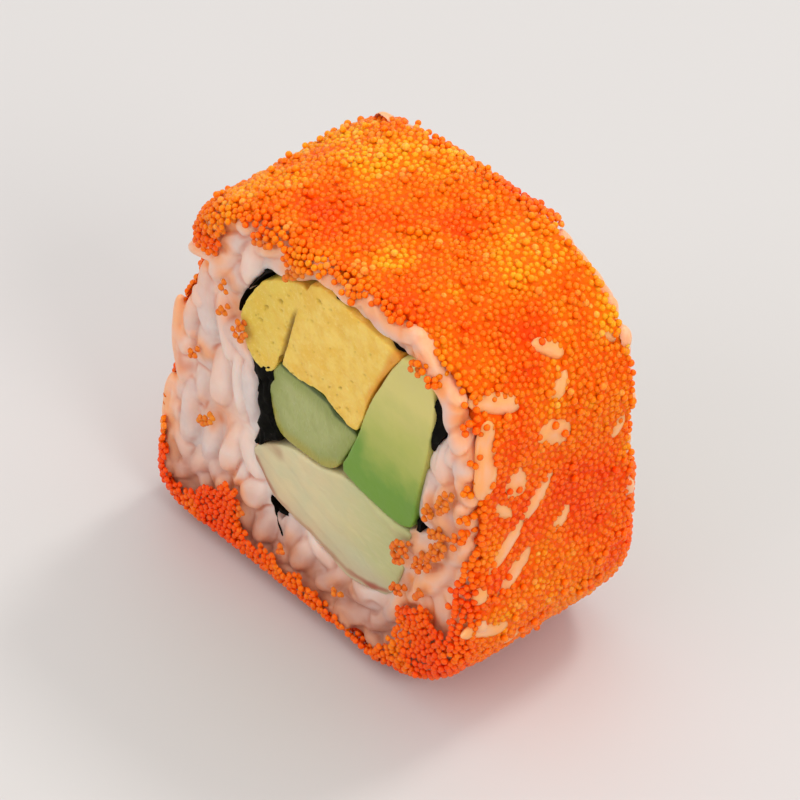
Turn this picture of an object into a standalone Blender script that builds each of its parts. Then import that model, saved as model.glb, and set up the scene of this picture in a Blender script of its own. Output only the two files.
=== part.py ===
"""One slice of an inside-out sushi roll, lying on its rice side.

The roll's axis runs along Y, so the two cut faces look along -Y and +Y. X is the width, Z is up, and
the origin is the middle of the slice's footprint. From the outside in there are a coat of fish roe, a
ring of rice, a sheet of nori, and the fillings: two strips of omelette, a stick of cucumber, a slice of
avocado and a crab stick. All of them run through the slice from face to face.
"""

import math

import bmesh
import bpy

MM = 0.001

# The slice as a whole
ROLL_WIDTH = 46.0 * MM
ROLL_HEIGHT = 44.5 * MM
SLICE_LENGTH = 20.5 * MM
TOP_RIGHT_RADIUS = 13.0 * MM
TOP_LEFT_RADIUS = 19.0 * MM
BOTTOM_LEFT_RADIUS = 5.0 * MM
BOTTOM_RIGHT_RADIUS = 14.0 * MM

# The upper left side is pressed in: how far at most, the heights where that begins, is whole and has
# faded out again, and the places across where it begins and is whole
PRESSED_IN = 5.6 * MM
PRESSED_FROM, PRESSED_WHOLE_BELOW = 14.0 * MM, 33.0 * MM
PRESSED_WHOLE_ABOVE, PRESSED_TO = 31.0 * MM, 42.0 * MM
PRESSED_INNER, PRESSED_OUTER = -3.0 * MM, -12.0 * MM

# Layers
GAP = 0.3 * MM
ROE_THICKNESS = 1.3 * MM
NORI_THICKNESS = 0.45 * MM
POINTS_AROUND = 96

# How far each layer's ends lie behind the slice's ends
ROE_RECESS = 0.35 * MM
NORI_RECESS = 0.7 * MM
OMELETTE_RECESS = 0.3 * MM
CUCUMBER_RECESS = 0.6 * MM
AVOCADO_RECESS = 0.4 * MM
CRAB_RECESS = 0.5 * MM

# Unevenness
ROE_LUMP = 0.5 * MM
RIM_WANDER = 0.9 * MM
RICE_LUMP = 0.4 * MM
RICE_RIM = 1.3 * MM
FLAT_BASE_BLEND = 3.0 * MM
FILLING_EDGE = 0.35 * MM

# The nori sheet's middle line in mm (x, z), from its loose end in the rice below, up the left side,
# over the top, down the right side and back under the crab stick
NORI_LINE = (
    (-4.3, 6.5), (-5.5, 8.2), (-6.0, 10.4), (-7.6, 12.7), (-8.9, 15.1), (-8.2, 17.6), (-7.6, 20.5),
    (-7.6, 23.4), (-8.4, 26.0), (-9.5, 28.2), (-9.7, 30.6), (-8.8, 33.6), (-6.6, 36.8), (-3.3, 39.3),
    (0.3, 41.0), (4.2, 41.4), (8.5, 40.9), (12.8, 40.2), (16.1, 40.2), (17.4, 38.0), (17.3, 34.8),
    (16.7, 31.0), (15.9, 27.2), (15.0, 23.5), (14.6, 20.6), (14.1, 17.2), (13.4, 13.8), (12.2, 10.6),
    (10.7, 8.6), (8.0, 7.8), (5.0, 7.3), (2.5, 8.1), (0.0, 8.9), (-2.6, 9.5), (-4.5, 9.9),
)
LOOSE_END_POINTS = 2

# The fillings' cut outlines in mm (x, z), counter-clockwise
OMELETTE_STRIP = (
    (-3.3, 28.6), (1.6, 28.6), (2.7, 28.4), (4.0, 27.7), (6.5, 27.2), (7.9, 31.2), (9.5, 34.8),
    (11.7, 38.4), (12.2, 39.3), (8.8, 39.9), (6.4, 40.2), (3.4, 40.6), (0.8, 40.1), (-1.2, 34.8),
)
OMELETTE_END = (
    (-8.1, 27.3), (-5.8, 26.1), (-4.1, 28.4), (-1.9, 34.8), (-0.1, 39.2), (-2.6, 38.4), (-5.8, 36.3),
    (-7.8, 33.3), (-8.9, 30.5),
)
CUCUMBER = (
    (-4.2, 19.4), (-2.0, 19.1), (1.6, 19.3), (3.4, 20.4), (4.2, 21.9), (5.7, 24.6), (6.2, 26.2),
    (3.4, 26.8), (2.5, 27.6), (-3.8, 28.0), (-5.2, 25.2), (-5.5, 23.2), (-5.1, 20.9),
)
AVOCADO = (
    (4.9, 21.0), (9.2, 19.9), (11.6, 19.6), (13.8, 20.3), (14.4, 23.4), (15.2, 27.2), (16.0, 31.1),
    (16.6, 35.0), (16.6, 37.9), (15.7, 39.5), (12.8, 39.3), (10.1, 34.6), (8.5, 31.2), (7.1, 27.2),
    (5.3, 22.8),
)
CRAB_STICK = (
    (-8.1, 14.9), (-6.9, 12.9), (-5.2, 11.1), (-3.0, 10.4), (0.0, 9.8), (2.5, 9.0), (5.0, 8.2),
    (8.0, 8.7), (10.3, 9.5), (11.5, 11.3), (12.6, 14.4), (13.3, 17.3), (13.6, 19.0), (11.6, 19.0),
    (8.0, 19.5), (4.4, 19.9), (1.6, 18.8), (-2.0, 18.6), (-4.0, 18.0), (-6.2, 16.7),
)

# Places where rice shows through the roe on the right side, in mm:
# height, distance along the roll, length, width, and tilt of the long way from upright in degrees
BARE_PATCHES = (
    (32.0, -0.3, 3.6, 2.6, 60.0),
    (29.0, -6.0, 3.0, 2.4, 20.0),
    (21.5, -2.9, 4.2, 1.6, -28.0),
    (15.6, -5.4, 4.0, 1.5, -28.0),
    (20.6, 0.6, 2.6, 1.8, -15.0),
    (36.4, -6.0, 3.8, 1.6, 75.0),
)
PATCH_SIDES = 10


def clear_scene():
    for thing in list(bpy.data.objects):
        bpy.data.objects.remove(thing, do_unlink=True)


def material(name, colour, roughness, metallic=0.0):
    made = bpy.data.materials.new(name)
    made.use_nodes = True
    shader = made.node_tree.nodes["Principled BSDF"]
    shader.inputs["Base Color"].default_value = (*colour, 1.0)
    shader.inputs["Roughness"].default_value = roughness
    shader.inputs["Metallic"].default_value = metallic
    made.diffuse_color = (*colour, 1.0)
    return made


def solid(name, mesh_builder, finish):
    """Turn a bmesh into a named object with one material and smooth round sides."""
    bmesh.ops.recalc_face_normals(mesh_builder, faces=mesh_builder.faces)
    mesh = bpy.data.meshes.new(name)
    mesh_builder.to_mesh(mesh)
    mesh_builder.free()
    mesh.shade_smooth()
    mesh.set_sharp_from_angle(angle=math.radians(40))
    mesh.materials.append(finish)
    made = bpy.data.objects.new(name, mesh)
    bpy.context.collection.objects.link(made)
    return made


def ease(start, end, value):
    """0 at start, 1 at end, and a smooth curve between them."""
    share = min(max((value - start) / (end - start), 0.0), 1.0)
    return share * share * (3 - 2 * share)


def pressed_in(x, z):
    """The upper part of the left side is flatter than a round corner."""
    rising = ease(PRESSED_FROM, PRESSED_WHOLE_BELOW, z)
    fading = ease(PRESSED_TO, PRESSED_WHOLE_ABOVE, z)
    sideways = ease(PRESSED_INNER, PRESSED_OUTER, x)
    return x + PRESSED_IN * rising * fading * sideways, z


def corner_arcs(inset):
    """The slice's rounded outline seen from the front, drawn in by inset, counter-clockwise."""
    half, steps = ROLL_WIDTH / 2, 24
    corners = (
        (half - TOP_RIGHT_RADIUS, ROLL_HEIGHT - TOP_RIGHT_RADIUS, TOP_RIGHT_RADIUS, 0),
        (TOP_LEFT_RADIUS - half, ROLL_HEIGHT - TOP_LEFT_RADIUS, TOP_LEFT_RADIUS, 90),
        (BOTTOM_LEFT_RADIUS - half, BOTTOM_LEFT_RADIUS, BOTTOM_LEFT_RADIUS, 180),
        (half - BOTTOM_RIGHT_RADIUS, BOTTOM_RIGHT_RADIUS, BOTTOM_RIGHT_RADIUS, 270),
    )
    points = []
    for x, z, radius, start in corners:
        for step in range(steps + 1):
            angle = math.radians(start + 90 * step / steps)
            reach = radius - inset
            points.append(pressed_in(x + reach * math.cos(angle), z + reach * math.sin(angle)))
    return points


def spaced(points, count):
    """Evenly spaced points on a closed line."""
    ends = points[1:] + points[:1]
    lengths = [math.dist(a, b) for a, b in zip(points, ends)]
    total, placed, walked, i = sum(lengths), [], 0.0, 0
    for k in range(count):
        target = total * k / count
        while walked + lengths[i] < target:
            walked += lengths[i]
            i += 1
        t = (target - walked) / lengths[i] if lengths[i] else 0.0
        a, b = points[i], ends[i]
        placed.append((a[0] + (b[0] - a[0]) * t, a[1] + (b[1] - a[1]) * t))
    return placed


def smooth_line(points, steps, closed):
    """A Catmull-Rom curve through the points."""
    count = len(points)
    spans = count if closed else count - 1
    line = []
    for i in range(spans):
        wanted = [i + k for k in (-1, 0, 1, 2)]
        near = [points[k % count if closed else min(max(k, 0), count - 1)] for k in wanted]
        for step in range(steps):
            t = step / steps
            weights = (
                (-t + 2 * t * t - t**3) / 2,
                (2 - 5 * t * t + 3 * t**3) / 2,
                (t + 4 * t * t - 3 * t**3) / 2,
                (t**3 - t * t) / 2,
            )
            line.append(tuple(sum(w * p[axis] for w, p in zip(weights, near)) for axis in (0, 1)))
    if not closed:
        line.append(points[-1])
    return line


def offset_line(line, distance, closed):
    """The line moved sideways: to its right as it runs, for a positive distance."""
    count = len(line)
    moved = []
    for i, (x, z) in enumerate(line):
        before = line[(i - 1) % count] if closed else line[max(i - 1, 0)]
        after = line[(i + 1) % count] if closed else line[min(i + 1, count - 1)]
        dx, dz = after[0] - before[0], after[1] - before[1]
        length = math.hypot(dx, dz)
        moved.append((x + dz / length * distance, z - dx / length * distance))
    return moved


def in_metres(points):
    return [(x * MM, z * MM) for x, z in points]


def ripple(a, b):
    """A fixed uneven pattern between -1 and 1 over two distances in millimetres."""
    return (
        0.5 * math.sin(0.9 * a + 1.7 * math.sin(0.37 * b))
        + 0.3 * math.sin(1.3 * b + 2.1 * math.sin(0.31 * a) + 1.0)
        + 0.2 * math.sin(0.53 * a - 1.9 * b + 0.4)
    )


def ring_mesh(sections):
    """Join closed cross-sections, one after the other and back to the first, into a ring."""
    builder = bmesh.new()
    loops = [[builder.verts.new(point) for point in section] for section in sections]
    for loop, following in zip(loops, loops[1:] + loops[:1]):
        for k in range(len(loop)):
            after = (k + 1) % len(loop)
            builder.faces.new((loop[k], loop[after], following[after], following[k]))
    return builder


def outline_normals(points):
    return [
        (outer[0] - point[0], outer[1] - point[1])
        for point, outer in zip(points, offset_line(points, 1.0, True))
    ]


def roe_coat(finish):
    """A lumpy sleeve round the rice, flat where it rests, with uneven rims and bare patches."""
    outline = spaced(corner_arcs(0.0), POINTS_AROUND)
    half = SLICE_LENGTH / 2 - ROE_RECESS
    rows = (-0.94, -0.7, -0.42, -0.14, 0.14, 0.42, 0.7, 0.94)
    sections = []
    for i, ((x, z), (nx, nz)) in enumerate(zip(outline, outline_normals(outline))):
        around = i * 360 / POINTS_AROUND
        lift = min(1.0, z / FLAT_BASE_BLEND)
        front = -half + RIM_WANDER * (0.5 + 0.5 * ripple(around / 6, 0))
        back = half - RIM_WANDER * (0.5 + 0.5 * ripple(around / 6, 9))
        section = []
        for row in rows:
            y = (front + back) / 2 + row * (back - front) / 2
            depth = lift * ROE_LUMP * (0.5 + 0.5 * ripple(around / 5, y / MM / 2))
            if abs(row) > 0.9:
                depth += 0.15 * ROE_THICKNESS
            section.append((x - nx * depth, y, z - nz * depth))
        middle, inner = 0.55 * ROE_THICKNESS, ROE_THICKNESS
        section.append((x - nx * middle, back, z - nz * middle))
        for y in (back - GAP, 0.0, front + GAP):
            section.append((x - nx * inner, y, z - nz * inner))
        section.append((x - nx * middle, front, z - nz * middle))
        sections.append(section)
    sleeve = solid("roe_coat", ring_mesh(sections), finish)
    for number, patch in enumerate(BARE_PATCHES):
        cutter = patch_cutter(f"bare_patch_{number}", *patch)
        cut = sleeve.modifiers.new(cutter.name, "BOOLEAN")
        cut.operation = "DIFFERENCE"
        cut.object = cutter
    return sleeve


def patch_cutter(name, height, along, length, width, tilt):
    """An oval bar through the right wall of the roe."""
    builder = bmesh.new()
    turn = math.radians(tilt)
    near = ROLL_WIDTH / 2 - 5 * ROE_THICKNESS
    far = ROLL_WIDTH / 2 + ROE_THICKNESS
    ends = []
    for x in (near, far):
        loop = []
        for k in range(PATCH_SIDES):
            angle = 2 * math.pi * (k + 0.5) / PATCH_SIDES
            up, across = length / 2 * math.cos(angle), width / 2 * math.sin(angle)
            y = along + across * math.cos(turn) + up * math.sin(turn)
            z = height + up * math.cos(turn) - across * math.sin(turn)
            loop.append(builder.verts.new((x, y * MM, z * MM)))
        ends.append(loop)
    for k in range(PATCH_SIDES):
        after = (k + 1) % PATCH_SIDES
        builder.faces.new((ends[0][k], ends[0][after], ends[1][after], ends[1][k]))
    builder.faces.new(ends[0])
    builder.faces.new(ends[1])
    bmesh.ops.recalc_face_normals(builder, faces=builder.faces)
    mesh = bpy.data.meshes.new(name)
    builder.to_mesh(mesh)
    builder.free()
    cutter = bpy.data.objects.new(name, mesh)
    bpy.context.collection.objects.link(cutter)
    cutter.hide_render = True
    cutter.display_type = "WIRE"
    return cutter


def rice_hole():
    """The inner edge of the rice: the nori's line without its loose end, moved outwards by a gap."""
    loop = smooth_line(in_metres(NORI_LINE[LOOSE_END_POINTS:]), 4, True)
    return offset_line(loop, -(NORI_THICKNESS / 2 + GAP), True)


def rice_ring(finish):
    """A ring of rice with uneven cut faces and rounded outer rims."""
    outer = spaced(corner_arcs(ROE_THICKNESS + GAP), POINTS_AROUND)
    hole = spaced(rice_hole(), POINTS_AROUND * 4)
    middle = (sum(x for x, _ in hole) / len(hole), sum(z for _, z in hole) / len(hole))

    def direction(point):
        return math.atan2(point[1] - middle[1], point[0] - middle[0])

    def turn_between(a, b):
        return abs(math.remainder(direction(a) - direction(b), 2 * math.pi))

    half = SLICE_LENGTH / 2
    face_rows = (0.0, 0.3, 0.6, 0.85)
    sections = []
    for x, z in outer:
        hx, hz = min(hole, key=lambda point: turn_between(point, (x, z)))
        reach = math.dist((x, z), (hx, hz))
        ux, uz = (x - hx) / reach, (z - hz) / reach
        rim = min(RICE_RIM, 0.45 * reach)
        section = []
        for side in (-1, 1):
            rows = []
            for row in face_rows:
                px, pz = hx + ux * row * (reach - rim), hz + uz * row * (reach - rim)
                dip = RICE_LUMP * (0.5 + 0.5 * ripple(px / MM / 1.6 + side, pz / MM / 2.2))
                rows.append((px, side * (half - dip), pz))
            for angle in (30, 65):
                back = rim * (1 - math.sin(math.radians(90 - angle)))
                in_from_rim = rim * (1 - math.sin(math.radians(angle)))
                rows.append((x - ux * in_from_rim, side * (half - RICE_LUMP - back), z - uz * in_from_rim))
            rows.append((x, side * (half - RICE_LUMP - rim), z))
            section += rows if side < 0 else [(x, 0.0, z)] + rows[::-1] + [(hx, 0.0, hz)]
        sections.append(section)
    ring = solid("rice", ring_mesh(sections), finish)
    slot = ring.modifiers.new("loose_end_slot", "BOOLEAN")
    slot.operation = "DIFFERENCE"
    slot.object = loose_end_cutter()
    return ring


def band(line, width):
    """The outline of a strip of even width along a line."""
    left = offset_line(line, width / 2, False)
    right = offset_line(line, -width / 2, False)
    return left + right[::-1]


def prism(outline, start, end):
    """An outline in X and Z drawn out along Y."""
    builder = bmesh.new()
    face = builder.faces.new([builder.verts.new((x, start, z)) for x, z in outline])
    drawn = bmesh.ops.extrude_face_region(builder, geom=[face])
    moved = [item for item in drawn["geom"] if isinstance(item, bmesh.types.BMVert)]
    bmesh.ops.translate(builder, verts=moved, vec=(0, end - start, 0))
    bmesh.ops.recalc_face_normals(builder, faces=builder.faces)
    return builder


def loose_end_cutter():
    """Room in the rice for the nori's loose end, a gap wider all round and open to the hole."""
    line = smooth_line(in_metres(NORI_LINE[: LOOSE_END_POINTS + 2]), 4, False)
    tip = (line[0][0] + GAP * 1.5, line[0][1] - GAP * 1.5)
    builder = prism(band([tip] + line, NORI_THICKNESS + 2 * GAP), -SLICE_LENGTH, SLICE_LENGTH)
    mesh = bpy.data.meshes.new("loose_end_slot")
    builder.to_mesh(mesh)
    builder.free()
    cutter = bpy.data.objects.new("loose_end_slot", mesh)
    bpy.context.collection.objects.link(cutter)
    cutter.hide_render = True
    cutter.display_type = "WIRE"
    return cutter


def nori_sheet(finish):
    line = smooth_line(in_metres(NORI_LINE), 3, False)
    half = SLICE_LENGTH / 2 - NORI_RECESS
    return solid("nori", prism(band(line, NORI_THICKNESS), -half, half), finish)


def filling(name, outline, recess, finish):
    """A filling with its cut edges eased."""
    half = SLICE_LENGTH / 2 - recess
    builder = prism(smooth_line(in_metres(outline), 2, True), -half, half)
    rims = [edge for edge in builder.edges if abs(edge.verts[0].co.y - edge.verts[1].co.y) < half / 100]
    bmesh.ops.bevel(builder, geom=rims, offset=FILLING_EDGE, segments=1, affect="EDGES", clamp_overlap=True)
    return solid(name, builder, finish)


clear_scene()
roe_coat(material("roe", (0.90, 0.20, 0.02), 0.25))
rice_ring(material("rice", (0.72, 0.62, 0.54), 0.45))
nori_sheet(material("nori", (0.012, 0.014, 0.010), 0.5))
omelette = material("omelette", (0.75, 0.50, 0.10), 0.5)
filling("omelette_strip", OMELETTE_STRIP, OMELETTE_RECESS, omelette)
filling("omelette_end", OMELETTE_END, OMELETTE_RECESS, omelette)
filling("cucumber", CUCUMBER, CUCUMBER_RECESS, material("cucumber", (0.33, 0.42, 0.16), 0.3))
filling("avocado", AVOCADO, AVOCADO_RECESS, material("avocado", (0.38, 0.52, 0.10), 0.4))
filling("crab_stick", CRAB_STICK, CRAB_RECESS, material("crab_stick", (0.66, 0.62, 0.36), 0.4))
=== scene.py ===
import math

import bmesh
import bpy
import numpy as np
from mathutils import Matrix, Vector, kdtree
from mathutils.geometry import tessellate_polygon


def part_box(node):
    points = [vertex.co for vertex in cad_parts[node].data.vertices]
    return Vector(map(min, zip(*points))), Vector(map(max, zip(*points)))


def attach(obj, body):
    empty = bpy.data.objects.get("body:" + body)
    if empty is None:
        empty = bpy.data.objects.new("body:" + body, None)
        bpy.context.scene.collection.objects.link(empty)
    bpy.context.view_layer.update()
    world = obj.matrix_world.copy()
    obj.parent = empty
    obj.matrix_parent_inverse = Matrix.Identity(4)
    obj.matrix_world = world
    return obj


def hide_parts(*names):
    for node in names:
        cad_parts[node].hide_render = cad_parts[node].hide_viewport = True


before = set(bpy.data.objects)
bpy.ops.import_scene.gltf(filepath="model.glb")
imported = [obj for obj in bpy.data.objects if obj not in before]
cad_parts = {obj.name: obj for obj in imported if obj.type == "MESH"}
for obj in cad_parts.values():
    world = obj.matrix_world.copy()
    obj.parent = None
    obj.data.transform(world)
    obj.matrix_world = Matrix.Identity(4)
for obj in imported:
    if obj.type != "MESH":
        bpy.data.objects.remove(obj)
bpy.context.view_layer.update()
mm = 0.001
print("frame loaded:", ", ".join(sorted(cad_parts)))

view = {
    "azimuth": 48.3,  # degrees round from the front cut towards the right side
    "elevation": 41.3,
    "distance": 0.446,
    "aim": (0.0014, 0.0, 0.0215),
    "lens": 220.0,  # the slice fills about two thirds of the picture
}

studio = {
    "worldColour": (1.0, 0.985, 0.97),
    "worldStrength": 0.82,
    "floorColour": (0.62, 0.605, 0.60),
    "floorSide": 8.0,
}

# direction (azimuth, elevation), distance, side of the square lamp, power in watts, colour
lamps = {
    "overhead": {"from": (150, 72), "distance": 1.4, "side": 0.9, "power": 1.7, "colour": (1.0, 0.98, 0.95)},
    "sparkle": {"from": (172, 58), "distance": 1.2, "side": 0.22, "power": 3.2, "colour": (1.0, 0.97, 0.92)},
    "frontFill": {"from": (-12, 34), "distance": 1.2, "side": 0.8, "power": 2.1, "colour": (1.0, 0.98, 0.97)},
    "rightFill": {"from": (82, 36), "distance": 1.2, "side": 0.4, "power": 3.8, "colour": (1.0, 0.98, 0.96)},
}


def direction(azimuth, elevation):
    turn, rise = math.radians(azimuth), math.radians(elevation)
    return Vector((math.sin(turn) * math.cos(rise), -math.cos(turn) * math.cos(rise), math.sin(rise)))


def addObject(name, data):
    made = bpy.data.objects.new(name, data)
    bpy.context.collection.objects.link(made)
    return made


def makeCamera():
    camera = addObject("camera", bpy.data.cameras.new("camera"))
    camera.data.lens = view["lens"]
    back = direction(view["azimuth"], view["elevation"])
    camera.location = Vector(view["aim"]) + back * view["distance"]
    camera.rotation_euler = (-back).to_track_quat("-Z", "Y").to_euler()
    camera.data.clip_start, camera.data.clip_end = 0.01, 50.0
    bpy.context.scene.camera = camera


def makeLamps():
    aim = Vector(view["aim"])
    for name, lamp in lamps.items():
        light = addObject(name, bpy.data.lights.new(name, "AREA"))
        light.data.size = lamp["side"]
        light.data.energy = lamp["power"]
        light.data.color = lamp["colour"]
        away = direction(*lamp["from"])
        light.location = aim + away * lamp["distance"]
        light.rotation_euler = (-away).to_track_quat("-Z", "Y").to_euler()
    world = bpy.data.worlds.new("studio")
    world.use_nodes = True
    background = world.node_tree.nodes["Background"]
    background.inputs["Color"].default_value = (*studio["worldColour"], 1.0)
    background.inputs["Strength"].default_value = studio["worldStrength"]
    bpy.context.scene.world = world
    bpy.context.scene.view_settings.view_transform = "Standard"


class Wire:
    # one output socket of a material, so that sums on masks read as plain expressions

    def __init__(self, graph, socket):
        self.graph, self.socket = graph, socket

    def maths(self, operation, first, second=0.0):
        return self.graph.node("ShaderNodeMath", {"operation": operation}, {0: first, 1: second})

    def __add__(self, other):
        return self.maths("ADD", self, other)

    def __radd__(self, other):
        return self.maths("ADD", other, self)

    def __sub__(self, other):
        return self.maths("SUBTRACT", self, other)

    def __rsub__(self, other):
        return self.maths("SUBTRACT", other, self)

    def __mul__(self, other):
        return self.maths("MULTIPLY", self, other)

    def __rmul__(self, other):
        return self.maths("MULTIPLY", other, self)

    def between(self, low, high):
        # 0 at low, 1 at high, smooth on the way
        sockets = {"Value": self, "From Min": low, "From Max": high}
        return self.graph.node("ShaderNodeMapRange", {"interpolation_type": "SMOOTHSTEP"}, sockets)


class Finish:
    # a material whose nodes are made one call at a time

    def __init__(self, name):
        self.material = bpy.data.materials.new(name)
        self.material.use_nodes = True
        self.tree = self.material.node_tree
        self.shader = self.tree.nodes["Principled BSDF"]

    def node(self, kind, settings=None, sockets=None, output=0):
        made = self.tree.nodes.new(kind)
        for key, value in (settings or {}).items():
            if key == "stops":
                ramp = made.color_ramp
                while len(ramp.elements) < len(value):
                    ramp.elements.new(0.5)
                for element, (place, colour) in zip(ramp.elements, value):
                    element.position, element.color = place, (*colour, 1.0)
            else:
                setattr(made, key, value)
        for key, value in (sockets or {}).items():
            self.feed(made.inputs[key], value)
        return Wire(self, made.outputs[output])

    def feed(self, socket, value):
        if isinstance(value, Wire):
            self.tree.links.new(value.socket, socket)
        elif socket.type == "RGBA":
            socket.default_value = (*value[:3], 1.0)
        else:
            socket.default_value = value

    def surface(self, values):
        for name, value in values.items():
            self.feed(self.shader.inputs[name], value)
        return self.material

    def attribute(self, name):
        return self.node("ShaderNodeAttribute", {"attribute_name": name}, output=2)

    def place(self):
        return self.node("ShaderNodeTexCoord", output=3)

    def noise(self, size, detail=2.0, roughness=0.5, stretch=(1, 1, 1)):
        scaled = self.node("ShaderNodeVectorMath", {"operation": "MULTIPLY"}, {0: self.place(), 1: stretch})
        sockets = {"Vector": scaled, "Scale": 1 / size, "Detail": detail, "Roughness": roughness}
        return self.node("ShaderNodeTexNoise", {"noise_dimensions": "3D"}, sockets)

    def mix(self, share, first, second):
        settings = {"data_type": "RGBA", "blend_type": "MIX", "clamp_factor": True}
        return self.node("ShaderNodeMix", settings, {0: share, 6: first, 7: second}, output=2)

    def bump(self, height, distance):
        return self.node("ShaderNodeBump", None, {"Height": height, "Distance": distance, "Strength": 1.0})

    def food(self, colour, roughness, normal, values):
        # moist flesh that lets some light through
        share, reach, depth = values["glow"]
        return self.surface({
            "Base Color": colour,
            "Roughness": roughness,
            "IOR": values["ior"],
            "Subsurface Weight": share,
            "Subsurface Radius": reach,
            "Subsurface Scale": depth,
            "Normal": normal,
        })


def hashed(whole, seed):
    # a fixed random number from -1 to 1 for each row of three whole numbers
    mixed = whole[:, 0] * 73856093 ^ whole[:, 1] * 19349663 ^ whole[:, 2] * 83492791 ^ seed * 2654435761
    mixed = (mixed ^ (mixed >> 13)) * 1274126177 & 0x7FFFFFFF
    mixed = (mixed ^ (mixed >> 11)) * 668265263 & 0x7FFFFFFF
    return mixed / 0x3FFFFFFF - 1.0


def softNoise(points, size, seed):
    # smooth random values from -1 to 1 over space, about one bump to each size
    scaled = np.asarray(points, float) / size
    base = np.floor(scaled).astype(np.int64)
    share = scaled - base
    share = share * share * (3 - 2 * share)
    total = np.zeros(len(scaled))
    for corner in np.ndindex(2, 2, 2):
        weight = np.prod(np.where(corner, share, 1 - share), axis=1)
        total += weight * hashed(base + np.array(corner), seed)
    return total


def smoothStep(low, high, values):
    share = np.clip((np.asarray(values, float) - low) / (high - low), 0, 1)
    return share * share * (3 - 2 * share)


def meshFrom(name, points, faces):
    made = bpy.data.meshes.new(name)
    sides = len(faces[0])
    made.vertices.add(len(points))
    made.vertices.foreach_set("co", np.asarray(points, np.float32).ravel())
    made.loops.add(len(faces) * sides)
    made.loops.foreach_set("vertex_index", np.asarray(faces, np.int32).ravel())
    made.polygons.add(len(faces))
    made.polygons.foreach_set("loop_start", np.arange(len(faces), dtype=np.int32) * sides)
    made.update(calc_edges=True)
    return made


def pointsOf(mesh):
    found = np.empty(len(mesh.vertices) * 3)
    mesh.vertices.foreach_get("co", found)
    return found.reshape(-1, 3)


def normalsOf(mesh):
    found = np.empty(len(mesh.vertices) * 3)
    mesh.vertex_normals.foreach_get("vector", found)
    return found.reshape(-1, 3)


def edgesOf(mesh):
    found = np.empty(len(mesh.edges) * 2, np.int64)
    mesh.edges.foreach_get("vertices", found)
    return found.reshape(-1, 2)


def setPoints(mesh, points):
    mesh.vertices.foreach_set("co", np.asarray(points, np.float32).ravel())
    mesh.update()


def store(mesh, name, values):
    mesh.attributes.new(name, "FLOAT", "POINT").data.foreach_set("value", np.asarray(values, np.float32))


def smoothed(points, edges, rounds):
    # each round moves every point half way to the middle of its neighbours
    count = np.bincount(edges.ravel(), minlength=len(points))[:, None]
    for _ in range(rounds):
        near = np.stack([
            np.bincount(edges[:, 0], points[edges[:, 1], k], len(points))
            + np.bincount(edges[:, 1], points[edges[:, 0], k], len(points))
            for k in range(3)
        ], 1)
        points = points + 0.5 * (near / count - points)
    return points


def swell(mesh, amounts):
    # moves each point along its normal
    points = pointsOf(mesh) + normalsOf(mesh) * amounts[:, None]
    setPoints(mesh, points)
    return points


def voxelSkin(name, points, faces, voxel, rounds):
    # one closed skin round shapes that run into each other
    rough = addObject(name + "Rough", meshFrom(name + "Rough", points, faces))
    remesh = rough.modifiers.new("skin", "REMESH")
    remesh.mode, remesh.voxel_size, remesh.adaptivity = "VOXEL", voxel, 0.0
    shown = rough.evaluated_get(bpy.context.evaluated_depsgraph_get())
    skin = bpy.data.meshes.new_from_object(shown)
    bpy.data.objects.remove(rough)
    skin.name = name
    setPoints(skin, smoothed(pointsOf(skin), edgesOf(skin), rounds))
    return skin


def finishPiece(name, mesh, material, slot, *nodes):
    mesh.materials.clear()
    mesh.materials.append(material)
    mesh.shade_smooth()
    piece = addObject(name, mesh)
    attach(piece, "root")
    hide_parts(*nodes)
    triangles = sum(len(polygon.vertices) - 2 for polygon in mesh.polygons)
    print(name, triangles, "triangles")


def sectionLoops(node, along=0.0):
    # the closed lines in X and Z where a CAD solid is cut across, the longest first
    build = bmesh.new()
    build.from_mesh(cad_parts[node].data)
    bmesh.ops.remove_doubles(build, verts=build.verts, dist=1e-6)
    everything = build.verts[:] + build.edges[:] + build.faces[:]
    cut = bmesh.ops.bisect_plane(build, geom=everything, plane_co=(0, along, 0), plane_no=(0, 1, 0))
    links = {}
    for item in cut["geom_cut"]:
        if isinstance(item, bmesh.types.BMEdge):
            first, second = item.verts
            links.setdefault(first, []).append(second)
            links.setdefault(second, []).append(first)
    loops = []
    while links:
        loop = [next(iter(links))]
        while True:
            onward = [vert for vert in links.pop(loop[-1]) if vert in links]
            if not onward:
                break
            loop.append(onward[0])
        loops.append(np.array([(vert.co.x, vert.co.z) for vert in loop]))
    build.free()
    return sorted(loops, key=lambda loop: -np.ptp(loop, axis=0).sum())


def turnedLeft(loop):
    # the loop run counter-clockwise as seen from the front
    after = np.roll(loop, -1, 0)
    area = (loop[:, 0] * after[:, 1] - after[:, 0] * loop[:, 1]).sum()
    return loop if area > 0 else loop[::-1]


def evenly(loop, spacing):
    closed = np.vstack([loop, loop[:1]])
    walked = np.r_[0, np.cumsum(np.linalg.norm(np.diff(closed, axis=0), axis=1))]
    count = max(8, round(walked[-1] / spacing))
    stops = np.arange(count) * walked[-1] / count
    return np.stack([np.interp(stops, walked, closed[:, k]) for k in (0, 1)], 1)


def outwards(loop):
    along = np.roll(loop, -1, 0) - np.roll(loop, 1, 0)
    along /= np.linalg.norm(along, axis=1)[:, None]
    return np.stack([along[:, 1], -along[:, 0]], 1)


def inside(loop, places):
    # whether each place lies within the loop
    a, b = loop, np.roll(loop, -1, 0)
    x, z = places[:, 0][:, None], places[:, 1][:, None]
    crosses = (a[:, 1] > z) != (b[:, 1] > z)
    slope = (b[:, 0] - a[:, 0]) / np.where(b[:, 1] == a[:, 1], 1, b[:, 1] - a[:, 1])
    return (crosses & (x < a[:, 0] + slope * (z - a[:, 1]))).sum(1) % 2 == 1


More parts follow.
